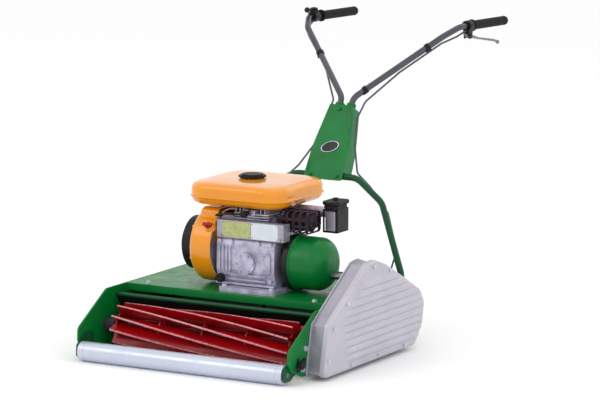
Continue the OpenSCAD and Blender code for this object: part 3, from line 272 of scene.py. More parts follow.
MATS = {
    "green_paint": material("green_enamel", srgb(0, 118, 50), 0.36, coat=0.12, tone=0.16, spec=0.2,
                            grain=(700, 0.08, 0.00015), wear_and_highlight=(srgb(70, 128, 92), 0.0010, 0.5),
                            dirt_and_shade=(srgb(4, 58, 32), 22, 0.4)),
    "dark_green_paint": material("dark_green_enamel", srgb(0, 78, 42), 0.36, coat=0.12, tone=0.18,
                                 spec=0.2, grain=(700, 0.08, 0.00015),
                                 wear_and_highlight=(srgb(52, 104, 80), 0.0010, 0.45), dirt_and_shade=(srgb(4, 36, 24), 22, 0.4)),
    "black_paint": material("black_enamel", srgb(22, 24, 26), 0.42, spec=0.3, tone=0.3,
                            grain=(800, 0.10, 0.0002), wear_and_highlight=(srgb(90, 90, 90), 0.001, 0.4),
                            dirt_and_shade=(srgb(52, 48, 42), 20, 0.3)),
    "ribbed_aluminium": material("ribbed_aluminium", srgb(196, 193, 203), 0.42, metal=0.55, tone=0.07,
                                 tone_scale=5, grain=(1100, 0.14, 0.0002), streak=(8, 8, 420),
                                 streak_amount=0.06, dirt_and_shade=(srgb(168, 165, 176), 9, 0.35),
                                 wear_and_highlight=(srgb(228, 227, 234), 0.001, 0.5)),
    # Cast aluminium: its pale edge colour is a painted highlight as well as rubbed metal, and its dark
    # purple-grey patches are painted shade as well as grime.
    "cast_aluminium": material("cast_aluminium", srgb(196, 192, 214), 0.46, metal=0.55, tone=0.34,
                               tone_scale=26, grain=(520, 0.38, 0.0006),
                               wear_and_highlight=(srgb(222, 222, 234), 0.0012, 0.8), dirt_and_shade=(srgb(84, 80, 98), 40, 0.7)),
    "steel": material("turned_steel", srgb(142, 144, 150), 0.34, metal=1.0, tone=0.18,
                      grain=(900, 0.12, 0.0002), streak=(500, 9, 9), streak_amount=0.25,
                      dirt_and_shade=(GRIME, 30, 0.3)),
    "zinc": material("zinc_plate", srgb(204, 210, 226), 0.34, metal=0.6, tone=0.05, tone_scale=5,
                     grain=(600, 0.10, 0.0002), streak=(380, 6, 6), streak_amount=0.04,
                     dirt_and_shade=(srgb(180, 184, 198), 7, 0.25)),
    "red_paint": material("red_enamel", srgb(156, 4, 14), 0.36, coat=0.3, spec=0.2, tone=0.25,
                          grain=(700, 0.08, 0.00015), recipe=bare_and_lit_tips,
                          dirt_and_shade=(srgb(74, 2, 8), 26, 0.5)),
    "orange_paint": material("orange_enamel", srgb(240, 150, 4), 0.3, coat=0.8, spec=0.3, tone=0.08,
                             tone_scale=5, grain=(700, 0.07, 0.00015),
                             wear_and_highlight=(srgb(206, 140, 50), 0.001, 0.4), dirt_and_shade=(srgb(212, 116, 8), 12, 0.35)),
    "black_plastic": material("black_plastic", srgb(18, 16, 18), 0.5, tone=0.25, spec=0.3,
                              grain=(1500, 0.22, 0.0003), dirt_and_shade=(srgb(48, 44, 44), 30, 0.3)),
    "rubber_grip": material("rubber_grip", srgb(16, 16, 17), 0.64, tone=0.25, spec=0.3,
                            grain=(1300, 0.3, 0.0004), dirt_and_shade=(srgb(44, 42, 40), 40, 0.3)),
    "cast_iron": material("cast_iron", srgb(72, 74, 78), 0.55, metal=0.6, tone=0.25, tone_scale=20,
                          grain=(420, 0.45, 0.0008), dirt_and_shade=(GRIME, 30, 0.4)),
    "roller_steel": material("roller_steel", srgb(124, 126, 132), 0.42, metal=0.9, tone=0.22,
                             tone_scale=12, grain=(700, 0.14, 0.0003), streak=(260, 5, 5),
                             streak_amount=0.3, dirt_and_shade=(srgb(84, 78, 68), 9, 0.45)),
    "chain_steel": material("oiled_chain", srgb(66, 62, 58), 0.38, metal=0.9, tone=0.3, tone_scale=60,
                            grain=(900, 0.15, 0.0002), dirt_and_shade=(srgb(34, 30, 26), 50, 0.6)),
    "baffle_steel": material("plated_sheet", srgb(172, 168, 182), 0.38, metal=0.6, tone=0.12,
                             grain=(700, 0.10, 0.0002), streak=(10, 10, 320), streak_amount=0.08,
                             wear_and_highlight=(srgb(226, 226, 234), 0.001, 0.6), dirt_and_shade=(srgb(120, 114, 130), 14, 0.4)),
    "muffler_black": material("exhaust_black", srgb(40, 32, 46), 0.55, metal=0.35, tone=0.3, spec=0.3,
                              tone_scale=18, grain=(420, 0.35, 0.0006), recipe=heat_tint,
                              wear_and_highlight=(srgb(118, 104, 122), 0.0012, 0.6)),
    "hose_rubber": material("hose_rubber", srgb(24, 24, 25), 0.5, tone=0.2, spec=0.3,
                            grain=(900, 0.2, 0.0003)),
    "red_plastic": material("red_plastic", srgb(158, 12, 2), 0.36, coat=0.1, spec=0.3, tone=0.15,
                            grain=(900, 0.08, 0.0002)),
    "bar_chrome": material("bar_steel", srgb(92, 94, 102), 0.3, metal=1.0, tone=0.2, tone_scale=14,
                           grain=(900, 0.07, 0.00015), dirt_and_shade=(srgb(70, 68, 66), 26, 0.4)),
    "cable_sheath": material("cable_sheath", srgb(84, 88, 98), 0.4, tone=0.15, spec=0.3,
                             grain=(1400, 0.12, 0.0002)),
}
PLATE_GREEN = material("plate_yellow_green", srgb(186, 194, 132), 0.4, spec=0.3, tone=0.22, tone_scale=40,
                       grain=(900, 0.06, 0.0001), dirt_and_shade=(srgb(104, 118, 84), 48, 0.7))
PLATE_WHITE = material("plate_white", srgb(220, 228, 234), 0.4, spec=0.3, tone=0.06, tone_scale=30,
                       grain=(900, 0.06, 0.0001), dirt_and_shade=(srgb(182, 190, 196), 40, 0.4))
BADGE_DARK = material("badge_enamel", srgb(6, 12, 12), 0.24, spec=0.3, tone=0.2,
                      grain=(900, 0.05, 0.0001))

floor_mat = material("studio_floor", srgb(253, 253, 253), 0.8, tone=0.005, spec=0.1, rough_var=0.03,
                     grain=(60, 0.02, 0.0005))
bpy.ops.mesh.primitive_plane_add(size=60, location=(0, 0, -0.0005))
floor = bpy.context.object
floor.name = "floor"
floor.data.materials.append(floor_mat)


# ---------------------------------------------------------------- mesh building

def unit(v):
    return Vector(v).normalized()


def bent_line(points, radius, step=6.0):
    """The line through points with a round bend at each inner one, as part.scad bends its tubes."""
    p = [Vector(q) for q in points]
    line = [p[0]]
    for a, b, c in zip(p, p[1:], p[2:]):
        u, v = (b - a).normalized(), (c - b).normalized()
        turn = acos(max(-1.0, min(1.0, u.dot(v))))
        if turn < 1e-4:
            line.append(b)
            continue
        start = b - u * radius * tan(turn / 2)
        side = (v - u * u.dot(v)).normalized()
        k = max(1, ceil(turn * 180 / pi / step))
        line += [start + radius * (side * (1 - cos(turn * j / k)) + u * sin(turn * j / k))
                 for j in range(k + 1)]
    return line + [p[-1]]


def dense(line, gap):
    """line with points added so that none are further apart than gap."""
    out = [line[0]]
    for a, b in zip(line, line[1:]):
        k = max(1, ceil((b - a).length / gap))
        out += [a.lerp(b, (i + 1) / k) for i in range(k)]
    return out


class Shape:
    """Collects parts of one piece, drawn in the machine's millimetres, then makes the object."""

    def __init__(self):
        self.verts, self.faces, self.face_mats = [], [], []
        self.mat = 0

    def rings(self, rings, closed=True, cap0=True, cap1=True):
        """Joins rings of points, each a list of the same length or a single point, with faces."""
        start = []
        for ring in rings:
            start.append((len(self.verts), len(ring)))
            self.verts += [Vector(p) for p in ring]
        for (a, na), (b, nb) in zip(start, start[1:]):
            n = max(na, nb)
            for i in range(n if closed else n - 1):
                j = (i + 1) % n
                face = [a + (i if na > 1 else 0), a + (j if na > 1 else 0),
                        b + (j if nb > 1 else 0), b + (i if nb > 1 else 0)]
                self.face([x for k, x in enumerate(face) if x not in face[:k]])
        for (a, n), wanted, back in ((start[0], cap0, True), (start[-1], cap1, False)):
            if wanted and n > 2:
                self.face(list(range(a, a + n))[::-1] if back else list(range(a, a + n)))
        return self

    def face(self, ids):
        if len(ids) > 2:
            self.faces.append(ids)
            self.face_mats.append(self.mat)

    def lathe(self, p, d, profile, segs=64, phase=0.0):
        """Turns a profile of (radius, height along d) round the line through p."""
        d = unit(d)
        a = d.orthogonal().normalized()
        b = d.cross(a)
        rings = []
        for r, h in profile:
            c = Vector(p) + d * h
            rings.append([c] if r < 1e-6 else
                         [c + r * (a * cos(phase + 2 * pi * i / segs) + b * sin(phase + 2 * pi * i / segs))
                          for i in range(segs)])
        return self.rings(rings, cap0=False, cap1=False)

    def tube(self, line, radius, sides=24, squash=None, up=(0.1, 0.2, 1)):
        """Sweeps a round section along a line. radius is a number or one for each point; squash,
        one for each point, flattens the section in the up direction."""
        n = len(line)
        dirs = [unit(line[min(i + 1, n - 1)] - line[max(i - 1, 0)]) for i in range(n)]
        side = unit(Vector(up) - dirs[0] * Vector(up).dot(dirs[0]))
        rings = []
        for i, c in enumerate(line):
            side = unit(side - dirs[i] * side.dot(dirs[i]))
            other = dirs[i].cross(side)
            r = radius[i] if isinstance(radius, (list, tuple)) else radius
            s = squash[i] if squash else 1.0
            rings.append([c + r * (side * cos(2 * pi * k / sides) * s + other * sin(2 * pi * k / sides))
                          for k in range(sides)])
        return self.rings(rings)

    def rod(self, line, radius, sides=24, round_by=1.5):
        """A tube whose two ends are rounded over."""
        line = [Vector(q) for q in line]
        steps = [0.0, 0.3, 0.7, 1.0]
        u0, u1 = unit(line[1] - line[0]), unit(line[-1] - line[-2])
        head = [line[0] + u0 * round_by * (1 - sqrt(1 - (1 - s) ** 2)) for s in steps]
        tail = [line[-1] - u1 * round_by * (1 - sqrt(1 - (1 - s) ** 2)) for s in reversed(steps)]
        radii = ([radius - round_by * (1 - s) for s in steps] + [radius] * (len(line) - 2)
                 + [radius - round_by * (1 - s) for s in reversed(steps)])
        return self.tube(head + line[1:-1] + tail, radii, sides)

    def slab(self, outline, frame_at, depth, bevel):
        """Extrudes a closed outline of (u, v) by depth along w, with its two rims bevelled."""
        cx = sum(p[0] for p in outline) / len(outline)
        cy = sum(p[1] for p in outline) / len(outline)

        def ring(w, inset):
            pts = []
            for u, v in outline:
                d = sqrt((u - cx) ** 2 + (v - cy) ** 2) or 1
                pts.append(frame_at(u - (u - cx) / d * inset, v - (v - cy) / d * inset, w))
            return pts

        levels = [(0, bevel), (bevel * 0.3, bevel * 0.3), (bevel, 0),
                  (depth - bevel, 0), (depth - bevel * 0.3, bevel * 0.3), (depth, bevel)]
        return self.rings([ring(w, inset) for w, inset in levels])

    def bolt(self, p, d, size=8.0, washer=True):
        """A hexagon head with a domed top and chamfered corners, on a washer."""
        turn = 0.2
        h0 = 1.6 if washer else 0.0
        if washer:
            self.lathe(p, d, [(0, 0), (size * 1.1, 0), (size * 1.14, 0.4), (size * 1.14, 1.2),
                              (size * 1.1, 1.6), (0, 1.6)], 32)
        k = size * 0.92
        t = size * 0.65
        self.lathe(p, d, [(0, h0), (k * 0.95, h0), (k, h0 + 0.3), (k, h0 + t - k * 0.12)], 6, turn)
        self.lathe(p, d, [(k, h0 + t - k * 0.12), (k * 0.86, h0 + t), (k * 0.7, h0 + t + 0.1),
                          (0, h0 + t + 0.15)], 6, turn)
        return self

    def make(self, name, mats, body="chassis", replaces=()):
        """Makes the object, on a body of the frame and in place of the CAD nodes it replaces."""
        mats = mats if isinstance(mats, (list, tuple)) else [mats]
        mesh = bpy.data.meshes.new(name)
        mesh.from_pydata([(p - MID) * MM for p in self.verts], [], self.faces)
        for mat in mats:
            mesh.materials.append(mat)
        mesh.polygons.foreach_set("material_index", self.face_mats)
        mesh.polygons.foreach_set("use_smooth", [True] * len(self.faces))
        bm = bmesh.new()
        bm.from_mesh(mesh)
        bmesh.ops.remove_doubles(bm, verts=bm.verts, dist=WELD)
        bmesh.ops.recalc_face_normals(bm, faces=bm.faces)
        bm.to_mesh(mesh)
        bm.free()
        piece = link(bpy.data.objects.new(name, mesh))
        normals = piece.modifiers.new("normals", "WEIGHTED_NORMAL")
        normals.keep_sharp = False
        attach(piece, body)
        if replaces:
            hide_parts(*replaces)


def rounded_edges(obj, width):
    """Narrow bevels, in mm, along the sharp edges of an object, shaded smoothly."""
    bevel = obj.modifiers.new("edges", "BEVEL")
    bevel.width = width * MM
    bevel.segments = 2
    bevel.limit_method = "ANGLE"
    bevel.angle_limit = radians(35)
    bevel.miter_outer = "MITER_ARC"
    normals = obj.modifiers.new("normals", "WEIGHTED_NORMAL")
    normals.weight = 60


def dress(name, slot, bevel):
    """Gives a CAD node its material and small rounded edges."""
    node = NODES[name]
    mesh = node.data
    mesh.materials.clear()
    mesh.materials.append(MATS[slot])
    for stored in ("custom_normal", "sharp_edge"):
        if stored in mesh.attributes:
            mesh.attributes.remove(mesh.attributes[stored])
    mesh.polygons.foreach_set("use_smooth", [True] * len(mesh.polygons))
    weld = node.modifiers.new("weld", "WELD")
    weld.merge_threshold = WELD
    flats = node.modifiers.new("flats", "DECIMATE")
    flats.decimate_type = "DISSOLVE"
    flats.angle_limit = radians(0.5)
    rounded_edges(node, bevel)


SLOTS = {s["node"]: s["material_slot"] for s in frame["record"]["subparts"]}

# ---------------------------------------------------------------- CAD nodes that keep their shape

# Width of each node's rounded edges in mm, and of the others'
EDGE_ELSE = 0.6
EDGE = {"side_plate_left": 1.2, "side_plate_right": 1.2, "deck_plate": 1.2, "frame_bolts": 0.5,
        "deflector_plate": 0.6, "blade_carrier": 0.8, "bottom_blade": 0.4, "bearing_housings": 0.9,
        "roller_brackets": 0.9, "front_roller": 1.5, "drive_roller_left": 1.5, "drive_roller_right": 1.5,
        "reel_shaft": 0.5, "reel_discs": 0.6, "drive_axle": 0.5, "countershaft": 0.5,
        "reduction_gear": 0.2, "clutch_drum": 0.2, "reel_chain": 0.3, "roller_chain": 0.3,
        "wing_knob_left": 1.2, "wing_knob_right": 1.2, "crankcase": 1.8, "cylinder_block": 0.6,
        "cylinder_head": 0.6, "cylinder_baffle": 0.7, "muffler_guard": 0.6, "carburettor": 1.2,
        "choke_lever": 0.6, "air_cleaner": 1.2, "air_cleaner_lid": 1.5, "recoil_housing": 2.0,
        "starter_handle": 2.0, "tank_cap": 1.2, "stop_switch": 1.2, "oil_plug": 1.2,
        "lever_brackets": 1.0, "throttle_lever": 1.0, "column": 1.8, "chain_case_back": 1.0,
        "chain_case_wall": 0.8, "clutch_backplate": 1.5, "countershaft_bearing": 1.0}
for node_name, node_slot in SLOTS.items():
    dress(node_name, node_slot, EDGE.get(node_name, EDGE_ELSE))


# ---------------------------------------------------------------- fuel tank, hose, cap dish

def rounded_rect(cx, cy, hx, hy, r, n=10):
    """A rounded rectangle round (cx, cy), from its half sizes and corner radius."""
    pts = []
    for qx, qy, start in ((1, 1, 0), (-1, 1, 90), (-1, -1, 180), (1, -1, 270)):
        for i in range(n + 1):
            a = radians(start + 90 * i / n)
            pts.append((cx + qx * (hx - r) + r * cos(a), cy + qy * (hy - r) + r * sin(a)))
    return pts


TANK = (-22.0, 464.0, 163.0, 153.0)    # middle and half sizes
CAP = (-30.0, 450.0)                   # middle of the filler neck


def tank_ring(z, inset, r):
    """One level of the tank, drawn in from its full size by inset."""
    x, y, hx, hy = TANK
    return [(px, py, z) for px, py in rounded_rect(x, y, hx - inset, hy - inset, r)]


tank = Shape()
# The pressed shell, from its dished bottom round the soldered seam to the crowned top
tank.rings([tank_ring(z, inset, r) for z, inset, r in (
    (433.5, 64, 40), (432.3, 36, 44), (432.6, 25, 47), (434.6, 17, 50), (438.5, 9.4, 54), (444.0, 4.2, 58),
    (450.0, 1.2, 61), (454.5, 0.2, 62), (455.2, -2.6, 64.5), (456.2, -3.4, 65), (458.4, -3.4, 65),
    (459.4, -2.6, 64.5), (460.0, 0.2, 62), (469.0, 0, 62), (478.0, 0.2, 62), (484.5, 1.4, 61.5),
    (490.0, 4.0, 60), (494.4, 8.4, 58), (497.4, 14.5, 55), (499.3, 22, 51), (500.6, 34, 47),
    (501.6, 50, 44), (502.3, 70, 40), (502.6, 100, 32))])
# Filler neck with its rolled lip, standing in a shallow raised dish
tank.lathe((CAP[0], CAP[1], 0), (0, 0, 1), [
    (52, 500.4), (46, 502.6), (40, 503.4), (33, 503.4), (29, 503.2), (27, 503.8), (26.4, 505.2),
    (25.6, 506), (23.6, 506.3), (22.4, 506.8), (22.0, 508.4), (21.6, 510.2), (20.4, 511), (19, 510.4),
    (18.2, 508.6), (18, 498), (0, 496)], 64)
tank.make("fuel_tank_shell", MATS["orange_paint"], replaces=["fuel_tank"])

straps = Shape()
for x in (-90, 46):
    straps.slab([(x - 12, 366), (x + 12, 366), (x + 12, 560), (x - 12, 560)],
                lambda u, v, w: (u, v, 429 + w), 3.2, 0.6)
    for y in (380, 546):
        straps.bolt((x, y, 429), (0, 0, -1), 5)
straps.make("tank_straps", MATS["black_paint"])

hose = Shape()
hose_line = bent_line([(0, 556, 432), (0, 556, 395), (-4, 530, 373), (16.9, 516.4, 371)], 12)
hose.rod(dense(hose_line, 4), 4, 16, 0.8)
hose.mat = 1
for p, d in (((0, 556, 424), (0, 0, -1)), ((9.5, 521.2, 371.4), (0.839, -0.544, 0))):
    hose.lathe(p, d, [(4, 0), (4.9, 0), (5.2, 0.5), (5.2, 4.5), (4.9, 5), (4, 5)], 20)
hose.make("fuel_hose", [MATS["hose_rubber"], MATS["zinc"]], replaces=["fuel_line"])


# ---------------------------------------------------------------- fan shroud

CRANK = (400.0, 305.0)                 # y and z of the crankshaft
shroud = Shape()
shroud.lathe((0, CRANK[0], CRANK[1]), (1, 0, 0), [
    (106, -82), (109.6, -82), (110.8, -82.6), (111.2, -84), (110.8, -85.6), (110, -86.4), (110, -142),
    (109.4, -146.5), (107.6, -150.5), (104.6, -154.4), (100.6, -157.4), (96, -159.3), (91, -160),
    (86, -160), (84.5, -158.8), (82, -158.4), (79.5, -158.8), (78, -160), (70, -160), (67, -159.6),
    (66, -158.4), (66, -152), (68, -151), (101, -151), (105.5, -148), (106, -142), (106, -82)], 96)


def duct_ring(x, inset):
    """One section of the duct that leads air from the fan up to the cylinder."""
    pts = [(336 + inset, 322), (336 + inset, 404 - inset)]
    for a in range(0, 91, 9):
        pts.append((356 - 20 * cos(radians(a)) + inset * cos(radians(a)),
                    404 + 20 * sin(radians(a)) - inset * sin(radians(a))))
    for a in range(90, -1, -9):
        pts.append((446 + 20 * cos(radians(a)) - inset * cos(radians(a)),
                    404 + 20 * sin(radians(a)) - inset * sin(radians(a))))
    pts += [(466 - inset, 404 - inset), (466 - inset, 322)]
    return [(x, y, z) for y, z in pts]


shroud.rings([duct_ring(x, i) for x, i in (
    (-83, 4), (-82, 3.4), (-82, 0.6), (-83, 0), (-132, 0), (-137, 1), (-141.5, 3.6), (-144.6, 7.5),
    (-146, 13), (-146, 20))], cap0=False)
shroud.lathe((-96, CRANK[0] - 0.8 * 104, CRANK[1] + 0.6 * 104), (0, -0.8, 0.6), [
    (19, 0), (17, 4.5), (15, 8), (14, 10.2), (13.2, 12.2), (11.6, 12.8), (0, 12.8)], 40)
for a in range(20, 360, 60):
    shroud.bolt((-160, CRANK[0] + 93 * cos(radians(a)), CRANK[1] + 93 * sin(radians(a))), (-1, 0, 0), 4)
shroud.make("fan_shroud_shell", MATS["orange_paint"], replaces=["fan_shroud"])


# ---------------------------------------------------------------- clutch dome

DOME = (CRANK[0], (CRANK[1] + 246.25) / 2)     # y and z, midway from crankshaft to countershaft
dome = Shape()
profile = [(76, 163), (82.4, 163), (83.4, 163.5), (83.4, 166.5), (82.4, 167.2), (80.4, 167.6)]
profile += [(79.4, 168.8), (79, 172), (79, 205), (78.7, 214)]
profile += [(79 - 52 + 52 * cos(radians(a)), 226 + 46 * sin(radians(a))) for a in range(8, 90, 6)]
profile += [(24, 272.05), (12, 272.3), (0, 272.4)]
dome.lathe((0, DOME[0], DOME[1]), (1, 0, 0), profile, 96)
for a in range(15, 360, 60):
    dome.bolt((167.2, DOME[0] + 81.6 * cos(radians(a)), DOME[1] + 81.6 * sin(radians(a))), (1, 0, 0),
              3.2, washer=False)
dome.make("clutch_dome", MATS["green_paint"], replaces=["clutch_cover"])


# ---------------------------------------------------------------- reel

REEL = (146.0, 84.0)                   # y and z of its axis
BLADES, REEL_L, TURN = 10, 600.0, 80.0
# A blade's section: (out from the axis, across), with the cutting edge at the outer end
SECTION = [(27.4, -15), (36, -11.9), (46, -8.5), (56, -5.1), (64.6, -2.2), (67.4, -0.6), (67.9, 0.9),
           (67.5, 3.4), (66.7, 4.8), (63.8, 3.9), (56, 1.4), (46, -1.8), (36, -5.1), (27.6, -7.8),
           (26.6, -11.4)]
reel = Shape()
for blade in range(BLADES):
    stations = [0.0, 0.0015] + [i / 72 for i in range(1, 72)] + [0.9985, 1.0]
    rings = []
    for k, s in enumerate(stations):
        a = radians(blade * 360 / BLADES + TURN * s)
        trim = 0.5 if k in (0, len(stations) - 1) else 0.0
        ring = []
        for u, v in SECTION:
            u, v = u - trim * (1 if u > 47 else -1), v - trim * 0.2
            ring.append((-REEL_L / 2 + REEL_L * s, REEL[0] + u * cos(a) - v * sin(a),
                         REEL[1] + u * sin(a) + v * cos(a)))
        rings.append(ring)
    reel.rings(rings)
reel.make("helical_blades", MATS["red_paint"], body="reel", replaces=["reel_blades"])


# ---------------------------------------------------------------- ribbed cover of the chain case

# Corners (y, z) of the case from its lower front one, up and over to the rear, and their radii
CASE = [(84, 10), (118, 158), (346, 302), (392, 306), (452, 285), (576, 223), (665, 175), (691, 134),
        (679, 73), (632, 12)]
CASE_ROUND = [14, 10, 26, 26, 30, 40, 30, 26, 30, 34]
COVER_X0, COVER_X1 = 402.0, 424.0      # its flange and its outer face


def rounded(points, radii, n=8):
    """A closed outline with each corner rounded by its own radius."""
    out = []
    for i, p1 in enumerate(points):
        p0, p2 = Vector(points[i - 1]), Vector(points[(i + 1) % len(points)])
        p1 = Vector(p1)
        a, b = (p0 - p1).normalized(), (p2 - p1).normalized()
        half = acos(max(-1, min(1, a.dot(b)))) / 2
        r = radii[i]
        c = p1 + (a + b).normalized() * r / sin(half)
        s, e = p1 + a * r / tan(half) - c, p1 + b * r / tan(half) - c
        for k in range(n + 1):
            m = s.lerp(e, k / n).normalized() * r
            out.append(tuple(c + m))
    return out


CASE_LINE = [Vector(p) for p in rounded(CASE, CASE_ROUND)]


def edge_distance(p):
    """How far a point inside the case is from its outline."""
    best = 1e9
    for a, b in zip(CASE_LINE, CASE_LINE[1:] + CASE_LINE[:1]):
        d = b - a
        t = max(0.0, min(1.0, (p - a).dot(d) / d.length_squared)) if d.length_squared > 1e-9 else 0.0
        best = min(best, (p - a - d * t).length)
    return best


def row_span(z):
    """Front and rear edge of the case outline at height z."""
    cuts = []
    for a, b in zip(CASE_LINE, CASE_LINE[1:] + CASE_LINE[:1]):
        if (a.y - z) * (b.y - z) <= 0 and abs(a.y - b.y) > 1e-9:
            cuts.append(a.x + (b.x - a.x) * (z - a.y) / (b.y - a.y))
    return min(cuts), max(cuts)


def ease(t):
    """0 to 1 with a soft start and end."""
    t = max(0.0, min(1.0, t))
    return t * t * (3 - 2 * t)


RIB_Z0, RIB_PITCH, RIB_COUNT, RIB_PROUD = 44.0, 22.0, 10, 4.6     # lowest rib, spacing, number, height


def rib_front(z):
    """Where the rib at height z starts, behind the sloping front edge."""
    low, _ = row_span(z)
    return low + 46 if z > 158 else 215 - (z - 34) * 0.25


def cover_height(y, z):
    """How far the cover's outer face stands out at a point: its rounded rim, and its ribs."""
    d = edge_distance(Vector((y, z)))
    rim = 8.0
    x = COVER_X1 - (0 if d >= rim else rim - sqrt(max(0.0, rim * rim - (rim - d) ** 2)))
    i = round((z - RIB_Z0) / RIB_PITCH)
    if 0 <= i < RIB_COUNT:
        rib_z = RIB_Z0 + i * RIB_PITCH
        _, rear = row_span(rib_z)
        across = max(0.0, 1 - ((z - rib_z) / 9.4) ** 2)
        along = ease((y - rib_front(rib_z)) / 12) * ease((rear - 5 - y) / 12)
        x += RIB_PROUD * across ** 0.6 * along * ease(d / 6)
    return x


cover = Shape()
lowest, highest = min(p.y for p in CASE_LINE), max(p.y for p in CASE_LINE)
heights = sorted({round(lowest + 0.02, 3), round(highest - 0.02, 3)}
                 | {round(lowest + q, 3) for q in (0.4, 1.0, 2.0, 3.5, 5.5, 8.0, 11.0)}
                 | {round(highest - q, 3) for q in (0.3, 0.8, 1.6, 3.0, 5.0, 8.0)}
                 | {round(22.0 + 1.1 * k, 3) for k in range(int((highest - 10 - 22) / 1.1) + 1)})
COLUMNS = 96
grid = []
for z in heights:
    y0, y1 = row_span(z)
    row = []
    for k in range(COLUMNS + 1):
        # closer together towards the rim, so that its rounding is smooth
        t = k / COLUMNS
        t = 0.5 - 0.5 * cos(pi * t) if y1 - y0 > 60 else t
        y = y0 + (y1 - y0) * t
        row.append((cover_height(y, z), y, z))
    grid.append(row)
cover.rings(grid, closed=False, cap0=False, cap1=False)
# The side wall down to the flange, and the flange's lip
outline = [r[0] for r in grid] + grid[-1][1:-1] + [r[-1] for r in reversed(grid)] + grid[0][-2:0:-1]
wall = [[(x, y, z) for x, y, z in outline],
        [(COVER_X0 + 3.0, y, z) for x, y, z in outline],
        [(COVER_X0 + 0.6, y, z) for x, y, z in outline],
        [(COVER_X0, y, z) for x, y, z in outline]]
inner = []
centre = Vector((380.0, 150.0))        # the case's middle, towards which the flange turns in
for x, y, z in outline:
    q = Vector((y, z))
    q = q + (centre - q).normalized() * 4.0
    inner.append((COVER_X0, q.x, q.y))
wall += [inner, [(COVER_X1 - 3, y, z) for x, y, z in inner]]
cover.rings(wall, cap0=False, cap1=False)
cover.make("ribbed_cover", MATS["ribbed_aluminium"], replaces=["chain_case_cover"])


# ---------------------------------------------------------------- handle: arch, bars, grips, levers

LEAN = radians(28)                     # of the arch and the column, towards the operator
FOOT = (340.0, 697.0, 192.0)           # the arch's left foot


def in_arch(x, s):
    """A point in the leaning plane of the arch, s up along it from the foot."""
    return (x, FOOT[1] + s * sin(LEAN), FOOT[2] + s * cos(LEAN))


HALF = [(FOOT[0], -62), (FOOT[0], 8), (214, 232), (110, 303)]
arch = Shape()
arch_pts = [in_arch(x, s) for x, s in HALF] + [in_arch(-x, s) for x, s in reversed(HALF)]
arch.rod(dense(bent_line(arch_pts, 70), 14), 10, 32, 1.5)
for side in (-1, 1):
    for s in (-52, -8):
        x, y, z = in_arch(side * (FOOT[0] - 9), s)
        arch.bolt((x, y, z), (-side, 0, 0), 8)
arch.make("arch_tube", MATS["dark_green_paint"], replaces=["handle_arch"])

COL = (824.0, 463.0)                   # y and z where the column's own axes start


def column_pt(x, y, z):
    """A point of the leaning column: z up along it and y towards the operator."""
    return Vector((x, COL[0] + y * cos(LEAN) + z * sin(LEAN), COL[1] - y * sin(LEAN) + z * cos(LEAN)))


def bar_path(s):
    """The middle line of a handlebar: s is 1 on the operator's left and -1 on the right."""
    return [column_pt(s * 20, 32, 60), column_pt(s * 20, 32, 266), Vector((s * 240, 1150, 868)),
            Vector((s * 268, 1206, 893)), Vector((s * 270, 1504, 884))]


bars = Shape()
for s in (-1, 1):
    bars.rod(dense(bent_line(bar_path(s), 44), 16), 9.5, 32, 1.0)
bars.make("handlebar_tubes", MATS["bar_chrome"], replaces=["handlebars"])


def bar_at(s, y):
    """The point of a bar's straight end at y."""
    p, q = bar_path(s)[3], bar_path(s)[4]
    return p + (q - p) * ((y - p.y) / (q.y - p.y))


grips = Shape()
for s in (-1, 1):
    end, inboard = bar_at(s, 1504), (bar_path(s)[3] - bar_path(s)[4]).normalized()
    prof = [(0, -8), (9, -8), (11.9, -7.3), (13.6, -5.5), (14.3, -2.8), (14.6, 0)]
    h = 3.0
    while h < 205:
        prof += [(14.2, h), (12.9, h + 1.2), (12.7, h + 2.6), (14.0, h + 3.8), (14.4, h + 6.2)]
        h += 7.2
    prof += [(14.2, 210), (14.6, 212.6), (17.4, 214.4), (18.8, 216.2), (19, 218.6), (18.2, 220.8),
             (16, 222), (9.8, 222), (9.55, 221), (9.55, 40)]
    grips.lathe(end, inboard, prof, 48)
grips.make("ribbed_grips", MATS["rubber_grip"], replaces=["grips"])

PIVOT = (268.0, 1262.0, 862.0)         # of the clutch lever
lever = Shape()
blade_line = dense(bent_line([PIVOT, (268, 1330, 846), (268, 1440, 828), (268, 1466, 820)], 30), 6)
along = [i / len(blade_line) for i in range(len(blade_line))]
lever.tube(blade_line, [5.0 + 1.2 * ease((t - 0.3) * 2) * ease((1 - t) * 5) for t in along], 20,
           squash=[1 - 0.35 * ease((t - 0.1) * 3) for t in along], up=(0, 0.1, 1))
lever.lathe(blade_line[-1], blade_line[-1] - blade_line[-3], [
    (0, -6.5), (3.6, -5.4), (5.9, -2.8), (6.6, 0), (5.9, 2.8), (3.6, 5.4), (0, 6.5)], 28)
lever.lathe((262.5, PIVOT[1], PIVOT[2]), (1, 0, 0), [
    (4.1, 0), (8, 0), (8.8, 0.5), (9, 1.4), (9, 9.6), (8.8, 10.5), (8, 11), (4.1, 11), (4.1, 0)], 36)
lever.lathe((262.5, PIVOT[1] - 10, PIVOT[2] + 2), (1, 0, 0), [
    (0, 0), (4.6, 0), (5.3, 0.7), (5.3, 10.3), (4.6, 11), (0, 11)], 28)
lever.make("clutch_lever_blade", MATS["steel"], body="lever", replaces=["clutch_lever"])


# ---------------------------------------------------------------- control cables

